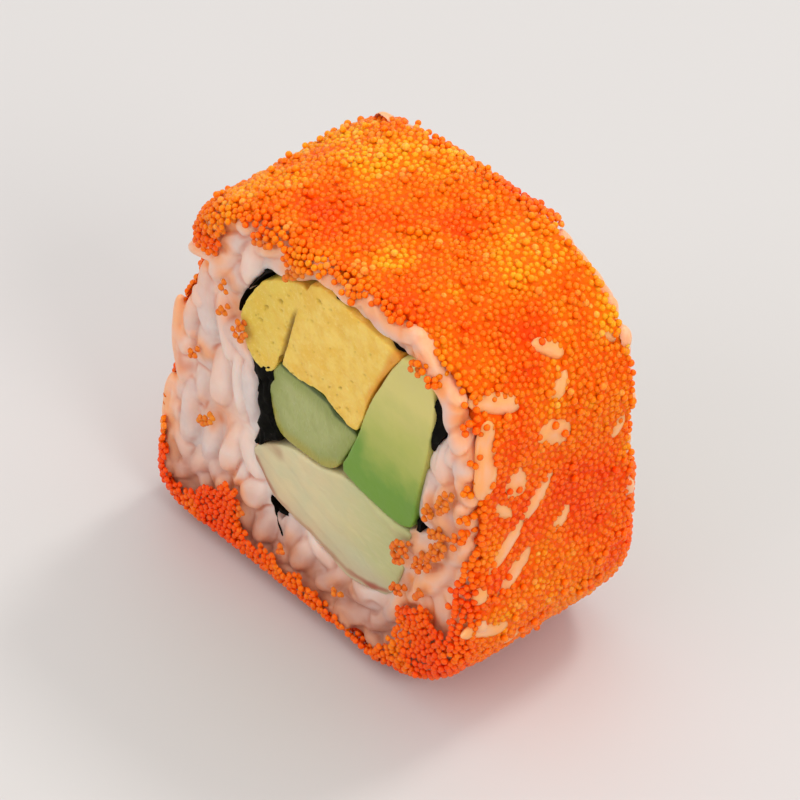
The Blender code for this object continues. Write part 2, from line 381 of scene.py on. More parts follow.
def gapTo(loop, places):
    # distance from each place to the nearest point of the loop, and that point's number
    apart = np.linalg.norm(places[:, None] - loop[None], axis=2)
    return apart.min(1), apart.argmin(1)


riceOuter, riceHole = (turnedLeft(loop) for loop in sectionLoops("rice", 2 * mm)[:2])
coatStep = 0.5 * mm
coatLine = evenly(riceOuter, coatStep)
coatOut = outwards(coatLine)
riceLow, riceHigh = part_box("rice")
half = riceHigh[1]
middle = Vector(((riceLow[0] + riceHigh[0]) / 2, 0.0, (riceLow[2] + riceHigh[2]) / 2))
makeCamera()
makeLamps()
print("camera and lamps set")


# the inner edge of the rice on a cut face, in mm, counter-clockwise from the upper left as seen from the
# front
riceMouth = (
    (-4.3, 38.4), (-5.8, 37.6), (-7.4, 35.8), (-8.7, 33.5), (-9.3, 31.4), (-9.1, 30.2), (-8.8, 29.0),
    (-8.3, 27.6), (-7.8, 26.1), (-7.3, 25.0), (-7.0, 23.5), (-7.05, 21.0), (-7.1, 19.2), (-7.4, 17.4),
    (-7.7, 16.2), (-7.6, 14.6), (-6.7, 12.7), (-5.8, 11.3), (-5.5, 9.4), (-4.9, 7.4), (-4.3, 6.6),
    (-3.9, 7.4), (-4.1, 9.4), (-3.8, 10.4), (-2.2, 10.1), (0.4, 9.5), (1.8, 9.0), (3.6, 8.5), (5.4, 8.4),
    (7.6, 8.7), (9.4, 9.3), (10.7, 10.4), (11.5, 12.6), (12.3, 14.1), (13.2, 15.0), (12.7, 15.9),
    (12.0, 17.0), (12.3, 18.6), (13.4, 19.5), (14.6, 20.0), (16.0, 20.6), (15.8, 21.2), (14.3, 21.4),
    (14.2, 23.0), (14.7, 25.5), (15.2, 27.6), (15.7, 29.4), (16.2, 30.8), (16.6, 31.8), (17.3, 32.7),
    (18.0, 34.0), (18.1, 35.3), (17.4, 36.2), (17.3, 37.4), (16.2, 37.5), (15.9, 38.9), (14.3, 39.3),
    (12.6, 39.5), (11.2, 39.8), (10.0, 40.1), (8.8, 40.4), (7.2, 40.2), (6.2, 40.7), (4.6, 41.0),
    (3.4, 40.6), (2.0, 40.8), (0.8, 40.3), (-0.6, 39.7), (-1.8, 39.3), (-2.8, 38.8), (-3.6, 38.5),
)

# rice grains that can be told apart on the front cut, in mm: across, height, length, width, turn in degrees
# counter-clockwise from level, and how far back they lie
frontGrains = (
    (-18.3, 21.4, 10.4, 2.5, 93, 0.1), (-14.2, 29.0, 9.0, 3.0, 93, 0.0), (-11.6, 27.6, 8.5, 2.7, 100, 0.2),
    (-16.8, 25.4, 5.6, 2.2, 84, 0.4), (-12.6, 20.8, 7.5, 2.8, 84, 0.1), (-10.0, 21.6, 8.6, 2.1, 91, 0.2),
    (-8.3, 21.6, 8.6, 2.4, 91, 0.2), (-20.4, 12.2, 9.2, 2.5, 79, 0.2), (-17.4, 13.4, 8.8, 2.7, 83, 0.0),
    (-14.2, 12.6, 7.6, 2.7, 78, 0.3), (-11.2, 13.0, 7.6, 2.5, 72, 0.1), (-15.6, 17.6, 5.6, 2.3, 74, 0.5),
    (-16.0, 8.2, 7.0, 2.4, 52, 0.2), (-18.4, 5.9, 7.0, 2.3, 44, 0.1), (-8.1, 9.5, 4.8, 2.8, 52, 0.0),
    (-14.4, 34.6, 4.4, 1.5, 14, -0.1), (-11.6, 35.2, 7.4, 2.5, 58, 0.1), (-9.2, 39.2, 7.2, 2.5, 44, 0.1),
    (-13.1, 31.8, 5.0, 2.0, 70, 0.5), (-5.0, 40.6, 6.4, 2.2, 30, 0.2), (-0.4, 41.9, 4.6, 2.0, 34, 0.2),
    (2.8, 42.3, 4.8, 2.2, -14, 0.1), (6.2, 42.2, 4.8, 2.2, 22, 0.1), (9.6, 41.9, 5.0, 2.3, -20, 0.0),
    (12.8, 42.0, 4.8, 2.1, 26, 0.1), (15.6, 41.0, 4.8, 2.3, -46, 0.1), (17.9, 38.9, 4.6, 2.2, -20, 0.2),
    (19.0, 36.4, 4.8, 2.3, -88, 0.1), (19.4, 32.9, 4.6, 2.2, 66, 0.2), (18.0, 30.4, 5.0, 2.1, 88, 0.1),
    (20.4, 29.6, 4.6, 2.0, 112, 0.2), (18.2, 26.8, 4.8, 2.2, 62, 0.1), (16.2, 24.6, 5.4, 2.0, 84, 0.2),
    (20.2, 26.0, 4.6, 2.0, 84, 0.3), (17.2, 16.4, 9.0, 2.5, 50, 0.1), (19.4, 20.2, 6.0, 2.0, 52, 0.4),
    (14.4, 12.6, 6.2, 2.3, 56, 0.3), (11.6, 8.8, 6.6, 2.5, 60, 0.1), (9.4, 5.8, 6.6, 2.4, 50, 0.2),
    (6.0, 3.9, 6.6, 2.4, 26, 0.1), (2.6, 6.0, 6.4, 2.4, 46, 0.2), (-1.4, 6.2, 6.0, 2.4, 56, 0.1),
    (-4.2, 4.0, 5.6, 2.2, 50, 0.3), (-7.0, 5.9, 6.0, 2.4, 60, 0.2), (-9.9, 10.4, 5.2, 1.9, 64, 0.4),
)

# rice that shows through the roe on the right side, in mm: height, place along the roll, length, width,
# turn in degrees from upright towards the back
wallGrains = (
    (36.8, -5.9, 5.2, 1.7, -62), (31.4, -0.4, 4.6, 2.7, -60), (32.8, -8.2, 7.4, 1.9, 6),
    (28.5, -4.9, 3.3, 2.5, 10), (25.4, -2.1, 5.4, 1.3, 42), (21.3, -6.0, 6.4, 1.4, 43),
    (17.5, -4.9, 6.8, 1.4, 47), (20.8, 0.7, 2.6, 1.5, 35), (38.6, 0.9, 3.4, 1.2, -49),
    (35.8, 0.9, 2.8, 1.0, 44), (25.8, -6.3, 3.2, 0.8, -34), (12.2, -7.8, 5.4, 1.3, -69),
    (17.3, -8.9, 1.4, 1.1, 0), (36.8, 7.6, 1.7, 0.9, -60), (8.6, -3.6, 2.4, 0.9, 30),
    (27.6, 7.4, 2.2, 0.9, 35),
)

rice = {
    "length": 7.4 * mm,
    "width": 2.9 * mm,
    "depth": 2.5 * mm,
    "sizeSpread": 0.13,
    "spacing": 2.05 * mm,
    "tries": 3500,  # grains thrown at each cut face
    "edgeGap": 0.7 * mm,  # from a thrown grain's middle to the rim or the seaweed, at least
    "rimStep": 3.5 * mm,  # between the grains that lie along the rims
    "rimGrain": (5.0, 2.3, 2.2),  # their size in mm
    "wallDepth": 1.2 * mm,  # thickness of the bare grains of the right side
    "wallMargin": 0.8,  # how much larger than what shows they are, in mm
    "openedAt": 1.9 * mm,  # how far behind the cut faces their meshes are cut open
    "mashDepth": 0.8 * mm,  # how far the rice pressed between the grains lies under the cut faces
    "coreInset": 0.75 * mm,
    "coreEnd": 1.8 * mm,  # from the cut faces to the ends of the core
    "roundRim": 1.1 * mm,
    "voxel": 0.175 * mm,
    "seamWidth": 0.5 * mm,
    "seamDepth": 0.17 * mm,
    "white": (0.81, 0.65, 0.575),
    "milky": (0.90, 0.79, 0.73),
    "grey": (0.64, 0.55, 0.53),
    "pink": (0.46, 0.20, 0.14),
    # the colour of the painted orange light bounced from the roe
    "peach": (0.84, 0.45, 0.30),
    # where the front cut is soaked with orange juice, in mm: across, height, radius
    "soaked": (
        (18.6, 14.4, 4.6), (15.6, 10.4, 3.6), (20.0, 18.5, 3.0), (-21.6, 8.5, 3.4), (-18.4, 28.4, 2.4),
        (-20.8, 16.0, 2.2), (21.6, 29.6, 2.6), (21.0, 35.2, 2.2),
    ),
    # painted shade, deep red, in the creases between its grains here
    "shadedGaps": (
        (-14.4, 33.4, 1.0), (-15.4, 22.2, 1.5), (-10.2, 32.6, 1.3), (-17.4, 10.6, 1.2), (-12.7, 15.4, 1.0),
        (-19.4, 27.2, 1.4), (-6.6, 39.6, 1.2), (-2.4, 5.2, 1.4), (5.0, 5.4, 1.2), (13.4, 13.6, 1.0),
    ),
    # the colour of the painted shade in the hollows and seams between grains
    "crease": (0.66, 0.16, 0.06),
    "stained": (1.0, 0.38, 0.10),
    "ior": 1.38,
    "glow": (0.6, (1.0, 0.6, 0.4), 1.2 * mm),  # light let through: share, reach of red, green and blue, depth
}


def ball(fineness):
    build = bmesh.new()
    bmesh.ops.create_icosphere(build, subdivisions=fineness, radius=1.0)
    points = np.array([vert.co for vert in build.verts])
    faces = np.array([[vert.index for vert in face.verts] for face in build.faces])
    build.free()
    return points, faces


def grainShape():
    # a grain along X: blunt ends, one a little pointed, and a slight bend
    points, faces = ball(3)
    along = points[:, 0]
    reach = np.sign(along) * np.abs(along) ** 0.9
    girth = np.maximum(1 - np.abs(reach) ** 2.5, 0) ** 0.5 / np.maximum(np.sqrt(1 - along**2), 1e-3)
    girth = np.where(np.abs(along) > 0.999, 1.0, girth) * (1 - 0.14 * reach)
    shaped = points * np.stack([np.ones_like(girth), girth, girth], 1)
    shaped[:, 0] = reach
    shaped[:, 1] += 0.13 * (reach**2 - 0.4)
    return shaped, faces


def frameAlong(lengthwise, upright):
    # rotation whose columns are the grain's length, width and thickness
    first = lengthwise / np.linalg.norm(lengthwise)
    third = upright - first * (upright @ first)
    third /= np.linalg.norm(third)
    return np.stack([first, np.cross(third, first), third], 1)


def rightSideAt(height):
    onRight = coatLine[:, 0] > middle.x
    return int(np.where(onRight, np.abs(coatLine[:, 1] - height), 1.0).argmin())


def placeGrains():
    random = np.random.default_rng(11)
    grains = []  # middle, rotation, half sizes

    def add(centre, lengthwise, upright, length, width, depth):
        size = np.array([length, width, depth]) / 2
        grains.append((np.array(centre), frameAlong(np.array(lengthwise), np.array(upright)), size))

    def lay(side, x, z, turn, length, width, back):
        tilt = random.normal(0, 0.06)
        depth = rice["depth"] * random.uniform(0.85, 1.1)
        along = (math.cos(turn), math.sin(tilt), math.sin(turn))
        centre = (x, side * (half - depth * 0.42 - back), z)
        add(centre, along, (0.12 * random.normal(), side, 0.12 * random.normal()), length, width, depth)

    placed = {-1: [], 1: []}
    for x, z, length, width, turn, back in frontGrains:
        lay(-1, x * mm, z * mm, math.radians(turn), length * mm, width * mm, back * mm)
        turned = math.radians(turn)
        for k in (-0.3, 0, 0.3):
            reach = k * length * mm
            placed[-1].append((x * mm + reach * math.cos(turned), z * mm + reach * math.sin(turned)))
    low, high = riceOuter.min(0), riceOuter.max(0)
    for side in (-1, 1):
        kept = list(placed[side])
        for _ in range(rice["tries"]):
            place = random.uniform(low, high)
            at = place[None]
            if not inside(riceOuter, at)[0] or inside(mouthLine, at)[0]:
                continue
            edge, nearest = gapTo(mouthLine, at)
            rim = gapTo(coatLine, at)[0][0]
            if min(rim, edge[0]) < rice["edgeGap"]:
                continue
            if kept and np.linalg.norm(np.array(kept) - place, axis=1).min() < rice["spacing"]:
                continue
            kept.append(tuple(place))
            away = place - mouthLine[nearest[0]]
            loose = 0.2 + 0.35 * smoothStep(1 * mm, 4 * mm, edge[0])
            turn = math.atan2(away[1], away[0]) + math.pi / 2 + random.normal(0, loose)
            share = 1 + rice["sizeSpread"] * random.uniform(-1, 1)
            length = rice["length"] * share * (0.62 if rim < 1.6 * mm else 0.92)
            back = random.uniform(0.0, 0.42) * mm + (0.15 * mm if side < 0 else 0)
            lay(side, place[0], place[1], turn, length, rice["width"] * share, back)
    # a row of grains along each rim
    step = round(rice["rimStep"] / coatStep)
    for side in (-1, 1):
        for k in range(0, len(coatLine), step):
            out = np.array([coatOut[k, 0], 0.0, coatOut[k, 1]])
            turned = random.normal(0, 0.65)
            lengthwise = np.array([-out[2] * math.cos(turned), math.sin(turned), out[0] * math.cos(turned)])
            place = np.array([coatLine[k, 0], side * (half - random.uniform(1.1, 1.5) * mm), coatLine[k, 1]])
            size = 1 + rice["sizeSpread"] * random.uniform(-1, 1)
            upright = out + np.array([0, side * 0.5, 0])
            length, width, depth = rice["rimGrain"]
            add(place - out * 0.95 * mm, lengthwise, upright, size * length * mm, width * mm, depth * mm)
    for height, along, length, width, turn in wallGrains:
        k = rightSideAt(height * mm)
        out = np.array([coatOut[k, 0], 0.0, coatOut[k, 1]])
        upward = np.array([-out[2], 0.0, out[0]])
        turned = math.radians(turn)
        lengthwise = upward * math.cos(turned) + np.array([0, 1.0, 0]) * math.sin(turned)
        depth, margin = rice["wallDepth"], rice["wallMargin"]
        place = np.array([coatLine[k, 0], along * mm, coatLine[k, 1]])
        centre = place + out * (wallTop + lumps(place[None])[0] - depth / 2)
        # a little larger than what shows, as the roe overlaps its edge
        add(centre, lengthwise, out, (length + margin) * mm, (width + margin) * mm, depth)
    return grains


def ringPrism(outer, hole, depth):
    # a closed ring between two loops with the same number of points
    count = len(outer)
    loops = ((outer, -depth), (outer, depth), (hole, depth), (hole, -depth))
    points = np.array([(x, y, z) for loop, y in loops for x, z in loop])
    ring = np.arange(4 * count).reshape(4, count)
    after = np.roll(ring, -1, 1)
    below, belowAfter = np.roll(ring, -1, 0), np.roll(after, -1, 0)
    quads = np.stack([ring, after, belowAfter, below], -1).reshape(-1, 4)
    return points, np.vstack([quads[:, [0, 1, 2]], quads[:, [0, 2, 3]]])


def matched(outer, hole):
    # for each outer point, the hole's point in the same direction from the hole's middle
    centre = hole.mean(0)
    angle = np.arctan2(*(hole - centre).T[::-1])
    wanted = np.arctan2(*(outer - centre).T[::-1])
    apart = np.abs((angle[None] - wanted[:, None] + math.pi) % (2 * math.pi) - math.pi)
    return hole[apart.argmin(1)]


def treeOf(points):
    tree = kdtree.KDTree(len(points))
    for number, point in enumerate(points):
        tree.insert(point, number)
    tree.balance()
    return tree


def flatTree(loop):
    return treeOf([(x, 0.0, z) for x, z in loop])


def gapAcross(loop, points):
    # each point's distance in X and Z to the nearest point of the loop
    tree = flatTree(loop)
    return np.array([tree.find((x, 0.0, z))[2] for x, _, z in points])


def awayFrom(points, x, z):
    # each point's distance in X and Z to a place in mm
    return np.hypot(points[:, 0] - x * mm, points[:, 2] - z * mm)


def pushedOut(points, loop):
    # points whose X and Z lie within the loop go to its nearest edge
    tree = flatTree(loop)
    for number in np.flatnonzero(inChunks(loop, points[:, [0, 2]])):
        at, _, _ = tree.find((points[number, 0], 0.0, points[number, 2]))
        points[number, 0], points[number, 2] = at.x, at.z
    return points


def inChunks(loop, places):
    return np.concatenate([inside(loop, places[k:k + 20000]) for k in range(0, len(places), 20000)])


def underRim(points):
    # the rounded rims: how far along the roll each point may reach
    gap = gapAcross(coatLine, points)
    turn = rice["roundRim"]
    down = turn - np.sqrt(np.maximum(turn**2 - np.maximum(turn - gap, 0) ** 2, 0))
    return half - down * 0.75


def mashPlate(side):
    # the rice pressed between the grains of one cut face
    outer = evenly(riceOuter, 0.5 * mm)
    outer = outer - outwards(outer) * 0.2 * mm
    points, faces = ringPrism(outer, matched(outer, mouthLine), 1.0 * mm)
    points[:, 1] += side * (half - rice["mashDepth"] - 1.0 * mm)
    return points, faces


def trimHidden(mesh, side):
    # the back of each rice face lies against the core, and shows only where a grain stands out of the roe
    build = bmesh.new()
    build.from_mesh(mesh)
    hidden = [vert for vert in build.verts if vert.co.y * side < half - rice["openedAt"]]
    bmesh.ops.delete(build, geom=hidden, context="VERTS")
    build.to_mesh(mesh)
    build.free()


def grainGaps(points, grains):
    # each point's nearest grain, and how much further off the next grain is
    centres = np.array([centre for centre, _, _ in grains])
    spines = np.array([turn[:, 0] for _, turn, _ in grains])
    girth = np.array([size[1] for _, _, size in grains])
    reach = np.array([size[0] for _, _, size in grains]) - girth
    nearest, spare = [], []
    for start in range(0, len(points), 3000):
        apart = points[start:start + 3000, None] - centres[None]
        along = np.clip((apart * spines).sum(2), -reach, reach)
        gap = np.linalg.norm(apart - along[:, :, None] * spines, axis=2) - girth
        order = np.argpartition(gap, 1, axis=1)[:, :2]
        first, second = np.take_along_axis(gap, order, 1).T
        nearest.append(order[:, 0])
        spare.append(second - first)
    return np.concatenate(nearest), np.concatenate(spare)


def softMouth(mesh):
    # the rice is pressed smooth where it meets the seaweed
    points = pointsOf(mesh)
    share = smoothStep(0.9 * mm, 0.35 * mm, gapAcross(mouthLine, points))[:, None]
    setPoints(mesh, points * (1 - share) + smoothed(points, edgesOf(mesh), 7) * share)


def makeRice(eggs):
    shape, faces = grainShape()
    grains = placeGrains()
    number = np.repeat(np.arange(len(grains)), len(shape))
    points = np.vstack([centre + (shape * size) @ turn.T for centre, turn, size in grains])
    for size, depth in ((2.2 * mm, 0.16 * mm), (1.0 * mm, 0.07 * mm)):
        shift = [softNoise(points + 0.37 * number[:, None], size, 5 + k) for k in range(3)]
        points += depth * np.stack(shift, 1)
    count = len(grains) - len(wallGrains)
    onWall = number >= count
    # the knife leaves the cut faces nearly flat, and the rice stops at the seaweed
    nearCut = (half - np.abs(points[:, 1]) < 2.2 * mm) & ~onWall
    points[nearCut] = pushedOut(points[nearCut], mouthLine)
    points[~nearCut] = pushedOut(points[~nearCut], evenly(riceHole, 0.15 * mm))
    over = np.maximum(np.abs(points[:, 1]) - underRim(points), 0) * ~onWall
    points[:, 1] -= np.sign(points[:, 1]) * over * 0.75
    points[:, 2] = np.maximum(points[:, 2], riceLow[2] * 0.6)
    tones = np.random.default_rng(12).random(len(grains))
    eggTree = treeOf(eggs)
    finish = riceFinish()
    along = np.array([centre[1] for centre, _, _ in grains])
    for name, side in (("riceFront", -1), ("riceBack", 1)):
        mine = np.flatnonzero(along[:count] * side > 0)
        shapes = [mashPlate(side)] + [(points[number == k], faces) for k in mine]
        mesh = voxelSkin(name, *joined(shapes), rice["voxel"], 3)
        softMouth(mesh)
        nearest, spare = grainGaps(pointsOf(mesh), [grains[k] for k in mine])
        # the grains stick together here and there, and part elsewhere
        seam = smoothStep(rice["seamWidth"], 0, spare)
        seam *= 0.1 + 0.9 * smoothStep(-0.15, 0.55, softNoise(pointsOf(mesh), 2.2 * mm, 9))
        setPoints(mesh, pointsOf(mesh) - normalsOf(mesh) * seam[:, None] * rice["seamDepth"])
        finishRice(name, mesh, tones[mine][nearest], seam, eggTree, finish, side)
    shapes = [(points[number == k], faces) for k in range(count, len(grains))]
    side = meshFrom("riceSide", *joined(shapes))
    finishRice("riceSide", side, np.repeat(tones[count:], len(shape)), 0.0, eggTree, finish, 0)
    outer = evenly(riceOuter, 1.2 * mm)
    inset = outer - outwards(outer) * rice["coreInset"]
    hole = matched(inset, evenly(riceHole, 0.2 * mm))
    core = meshFrom("riceCore", *ringPrism(inset, hole, half - rice["coreEnd"]))
    finishRice("riceCore", core, 0.5, 0.0, eggTree, finish, 0)


def finishRice(name, mesh, tone, seam, eggTree, finish, side):
    points = pointsOf(mesh)
    cavity = ((points - smoothed(points, edgesOf(mesh), 10)) * normalsOf(mesh)).sum(1)
    # painted shade: the seams between grains and the hollows are darkened towards orange red
    crease = np.maximum(seam * 0.8, smoothStep(0.0, -0.12 * mm, cavity))
    gap = np.array([eggTree.find(point)[2] for point in points])
    gap += 0.45 * mm * softNoise(points, 1.4 * mm, 7)
    onWall = name == "riceSide"
    stain = smoothStep(2.1 * mm, 0.5 * mm, gap) * 0.9
    for x, z, radius in rice["soaked"]:
        away = awayFrom(points, x, z) + 0.8 * mm * softNoise(points, 1.6 * mm, 10)
        stain = np.maximum(stain, smoothStep(radius * mm, 0, away) * 0.6 * (side < 0))
    for x, z, radius in rice["shadedGaps"]:
        near = smoothStep(radius * mm, 0, awayFrom(points, x, z))
        # painted shade, deeper red, in the hollows near the listed places
        crease = np.maximum(crease, near * smoothStep(0.03 * mm, -0.06 * mm, cavity) * 1.6)
    height = points[:, 2] + mm * softNoise(points, 2 * mm, 9)
    values = {
        "tone": tone + 0 * gap,
        "crease": np.minimum(crease, 1.4) * (not onWall),
        "stain": smoothStep(1.4 * mm, 0.3 * mm, gap) * 0.6 + 0.75 if onWall else stain,
        # peach near the roe is painted light: orange light bounced from the roe
        "blush": smoothStep(5.5 * mm, 0.8 * mm, gap),
        # darker and pinker towards the bottom
        "low": smoothStep(11.5 * mm, 4.5 * mm, height) * (not onWall),
    }
    for key, value in values.items():
        store(mesh, key, value)
    if side:
        trimHidden(mesh, side)
    finishPiece(name, mesh, finish, "rice", "rice")


def joined(shapes):
    points, faces, start = [], [], 0
    for shapePoints, shapeFaces in shapes:
        points.append(shapePoints)
        faces.append(shapeFaces + start)
        start += len(shapePoints)
    return np.vstack(points), np.vstack(faces)


def riceFinish():
    finish = Finish("rice")
    names = ("tone", "crease", "stain", "blush", "low")
    tone, crease, stain, blush, low = (finish.attribute(name) for name in names)
    cloudy = finish.noise(2.2 * mm, 3.0)
    body = finish.mix(tone.between(0.1, 0.9), rice["white"], rice["grey"])
    body = finish.mix(cloudy.between(0.35, 0.75) * 0.35, body, rice["milky"])
    # painted light: peach near the roe, as light bounced from it
    body = finish.mix(blush * (0.75 - 0.35 * tone), body, rice["peach"])
    # painted shade in the creases between the grains, redder near the roe
    body = finish.mix(crease * (0.2 + 0.65 * blush), body, rice["crease"])
    body = finish.mix(stain * (0.7 + 0.3 * crease), body, rice["stained"])
    body = finish.mix(low * (0.65 + 0.3 * crease), body, rice["pink"])
    fine = finish.noise(0.4 * mm, 2.0)
    return finish.food(body, 0.3 + 0.2 * fine, finish.bump(fine, 0.03 * mm), rice)


mouthLine = evenly(turnedLeft(np.array(riceMouth) * mm), 0.12 * mm)
ragged = softNoise(np.insert(mouthLine, 1, 0, 1), 1.1 * mm, 14) * 0.22 * mm
mouthLine += outwards(mouthLine) * ragged[:, None]
wallTop = 1.04 * mm  # how far the bare grains of the right side stand out from the rice


# the inner edge of the roe on the front cut, in mm, clockwise from the top; it runs past the rice where the
# rim is bare
roeEdge = (
    (1.5, 42.9), (4.0, 43.2), (6.0, 42.8), (8.6, 43.1), (11.0, 42.5), (13.0, 42.9), (15.5, 44.2),
    (19.0, 42.8), (22.0, 40.2), (24.4, 36.5), (24.8, 30.0), (24.4, 25.4), (23.4, 23.0), (21.6, 21.8),
    (21.1, 19.4), (20.4, 16.6), (20.3, 13.4), (19.2, 11.4), (17.4, 11.4), (16.3, 12.2), (15.2, 11.2),
    (13.5, 10.5), (13.1, 8.8), (12.6, 6.4), (11.7, 4.6), (9.8, 3.0), (8.0, 2.3), (6.0, 2.1), (4.6, 2.9),
    (3.4, 2.6), (1.8, 3.3), (0.5, 3.7), (-0.8, 4.6), (-2.1, 3.9), (-3.8, 3.4), (-4.9, 4.3), (-6.0, 3.8),
    (-8.0, 4.3), (-9.1, 4.6), (-10.2, 5.6), (-9.4, 7.3), (-10.1, 8.9), (-11.1, 9.1), (-12.0, 7.7),
    (-13.6, 6.8), (-15.5, 5.3), (-17.4, 4.1), (-19.2, 3.3), (-20.1, 4.4), (-20.6, 5.6), (-20.2, 6.8),
    (-20.9, 8.2), (-20.5, 10.2), (-21.0, 12.0), (-20.7, 13.6), (-22.0, 15.0), (-24.0, 17.0), (-24.0, 22.0),
    (-22.5, 27.0), (-20.5, 31.0), (-19.5, 34.2), (-16.2, 34.9), (-14.8, 35.8), (-13.6, 36.6), (-12.0, 36.4),
    (-11.3, 37.8), (-10.8, 39.6), (-10.0, 40.8), (-9.0, 41.8), (-7.4, 42.7), (-5.8, 43.2), (-3.4, 43.2),
    (-1.8, 42.0), (0.4, 42.2),
)

# the strip of the right side beside the front cut that the roe leaves bare, in mm: height, place along the
# roll
bareStrip = (
    (44.6, -12.0), (43.3, -9.4), (42.4, -8.9), (41.2, -9.1), (39.6, -8.3), (38.4, -7.9), (37.3, -8.6),
    (36.0, -8.6), (34.9, -7.8), (33.6, -8.1), (32.0, -8.6), (30.4, -8.7), (29.0, -9.0), (26.5, -8.8),
    (24.4, -9.2), (22.8, -10.0), (21.6, -12.0),
)

# loose roe on the front cut, in mm: across, height, length, width, turn in degrees from level
roeIslands = (
    (13.3, 17.5, 3.4, 1.9, 62), (16.3, 18.2, 3.2, 1.4, 48), (18.2, 21.0, 3.2, 1.3, 52),
    (16.9, 24.7, 1.9, 1.1, 70), (18.4, 22.9, 3.2, 0.9, 25), (19.2, 27.4, 3.4, 1.2, 65),
    (12.9, 12.6, 1.7, 1.2, 40), (15.4, 40.4, 1.7, 1.1, 10), (17.1, 39.8, 1.3, 0.8, -40),
    (-0.9, 40.7, 2.8, 0.8, 38), (0.4, 42.1, 2.0, 1.2, 20), (-5.0, 42.2, 2.6, 1.7, 30),
    (-13.6, 15.5, 2.9, 0.8, 42), (-8.5, 29.4, 2.2, 1.5, 75), (-10.7, 30.8, 1.5, 0.9, 60),
    (-3.2, 6.5, 1.4, 0.8, 60), (-15.2, 22.6, 1.2, 0.7, 60), (8.4, 26.2, 1.2, 1.0, 30),
    (-10.4, 33.4, 1.2, 0.6, 120), (20.6, 23.8, 2.4, 0.8, 60), (21.2, 36.9, 2.0, 1.3, 40),
    (21.9, 33.2, 1.0, 0.7, 80), (21.7, 30.2, 1.6, 0.8, 70), (21.4, 26.6, 1.1, 0.7, 50),
    (20.4, 38.9, 0.8, 0.6, 20), (18.2, 41.4, 1.2, 0.7, -30), (20.9, 24.4, 1.5, 0.8, 60),
    (15.9, 14.0, 1.3, 0.7, 50), (-9.2, 6.9, 1.2, 0.8, 50), (4.6, 6.1, 1.6, 0.6, 10),
    (-7.8, 12.2, 1.0, 0.6, 80),
)

roe = {
    "egg": 0.34 * mm,  # radius
    "sizeSpread": 0.14,
    "uneven": 0.05 * mm,
    "bedLift": 0.90 * mm,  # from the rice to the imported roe
    "roundRim": 1.5 * mm,
    # layers from the rice outwards: lift of the eggs' middles, least distance apart, eggs thrown, and how far
    # round each egg is modelled
    "layers": {
        "lower": (0.80 * mm, 0.55 * mm, 400000, 0.05),
        "rims": (0.42 * mm, 0.54 * mm, 60000, 0.05),
        "inner": (0.04 * mm, 0.56 * mm, 40000, 0.05),
        "upper": (1.12 * mm, 0.58 * mm, 60000, -0.25),
        "stray": (1.06 * mm, 0.59 * mm, 90000, -0.4),  # on the bare grains of the right side
        "loose": (1.28 * mm, 0.6 * mm, 5000, -0.7),
    },
    "mostTriangles": 190000,  # in one piece
    "overFaces": 9 * mm,  # how far round onto the cut faces eggs are thrown
    "sunk": 0.3 * mm,  # how much deeper the fillings lie than the rice
    "bedRows": 70,  # points along the roll
    "bedEnd": 0.9 * mm,  # from the cut faces to the ends of the bed
    "bedDepth": 1.4 * mm,  # how deep its inner side lies, and how deep it sinks where rice is bare
    # yellower and redder patches, in mm: across, along, height, radius, and how much yellower
    "patches": (
        (-4.2, -4.4, 44.2, 4.2, -0.35), (1.2, -1.0, 44.4, 3.2, -0.25), (6.5, 3.5, 44.3, 4.0, -0.25),
        (17.4, -5.1, 41.9, 3.6, -0.3), (20.0, -1.5, 39.5, 4.2, -0.25), (22.6, 4.8, 22.0, 9.0, -0.3),
        (16.7, -10.0, 6.7, 4.5, -0.2), (-20.0, -10.0, 3.5, 5.0, -0.3), (-13.5, -10.0, 5.0, 4.0, -0.3),
        (-13.7, 1.3, 41.5, 6.5, 0.3), (-5.8, 4.1, 44.1, 5.0, 0.3), (-0.7, 7.8, 44.1, 6.0, 0.3),
        (-9.9, -8.9, 42.9, 3.0, 0.2), (5.8, -5.0, 44.3, 2.6, 0.35), (14.3, 3.7, 43.4, 4.2, 0.3),
        (11.5, -4.8, 44.0, 3.0, 0.3), (21.0, 8.4, 37.7, 4.6, 0.35), (20.2, 0.8, 38.2, 1.8, 0.25),
        (22.3, 9.1, 24.3, 2.6, 0.3), (22.8, -6.8, 12.8, 3.6, 0.3), (22.9, -7.4, 22.0, 3.2, 0.3),
    ),
    "dark": (0.86, 0.034, 0.0),
    "deep": (1.0, 0.072, 0.0),
    "bright": (1.0, 0.21, 0.001),
    "yellow": (1.0, 0.44, 0.01),
    # the colour of the painted glint on a few eggs
    "paintedGlint": (1.0, 0.60, 0.16),
    "brown": (0.64, 0.20, 0.025),
    "shine": (1.0, 0.62, 0.18),
}
stripLine = evenly(turnedLeft(np.array(bareStrip) * mm), 0.25 * mm)
edgeLine = evenly(turnedLeft(np.array(roeEdge) * mm), 0.25 * mm)


def ovalShare(across, up, spot, margin):
    # 0 in the middle of an oval, 1 at its edge
    x, z, length, width, turn = spot
    turned = math.radians(turn)
    first, second = across - x * mm, up - z * mm
    lengthwise = first * math.cos(turned) + second * math.sin(turned)
    crosswise = second * math.cos(turned) - first * math.sin(turned)
    return np.hypot(lengthwise / (length * mm / 2 + margin), crosswise / (width * mm / 2 + margin))


def overBareGrain(points, margin):
    found = np.full(len(points), 9.0)
    for height, along, length, width, turn in wallGrains:
        share = ovalShare(points[:, 2], points[:, 1], (height, along, length, width, turn), margin)
        found = np.minimum(found, np.where(points[:, 0] > middle.x + 10 * mm, share, 9.0))
    return found


def onOutline(place):
    # the coat's outline and its outward direction at a fractional number of points along it
    number = np.floor(place).astype(int)
    after, share = (number + 1) % len(coatLine), (place - number)[:, None]
    line = coatLine[number] * (1 - share) + coatLine[after] * share
    out = coatOut[number] * (1 - share) + coatOut[after] * share
    return line, out / np.linalg.norm(out, axis=1)[:, None]


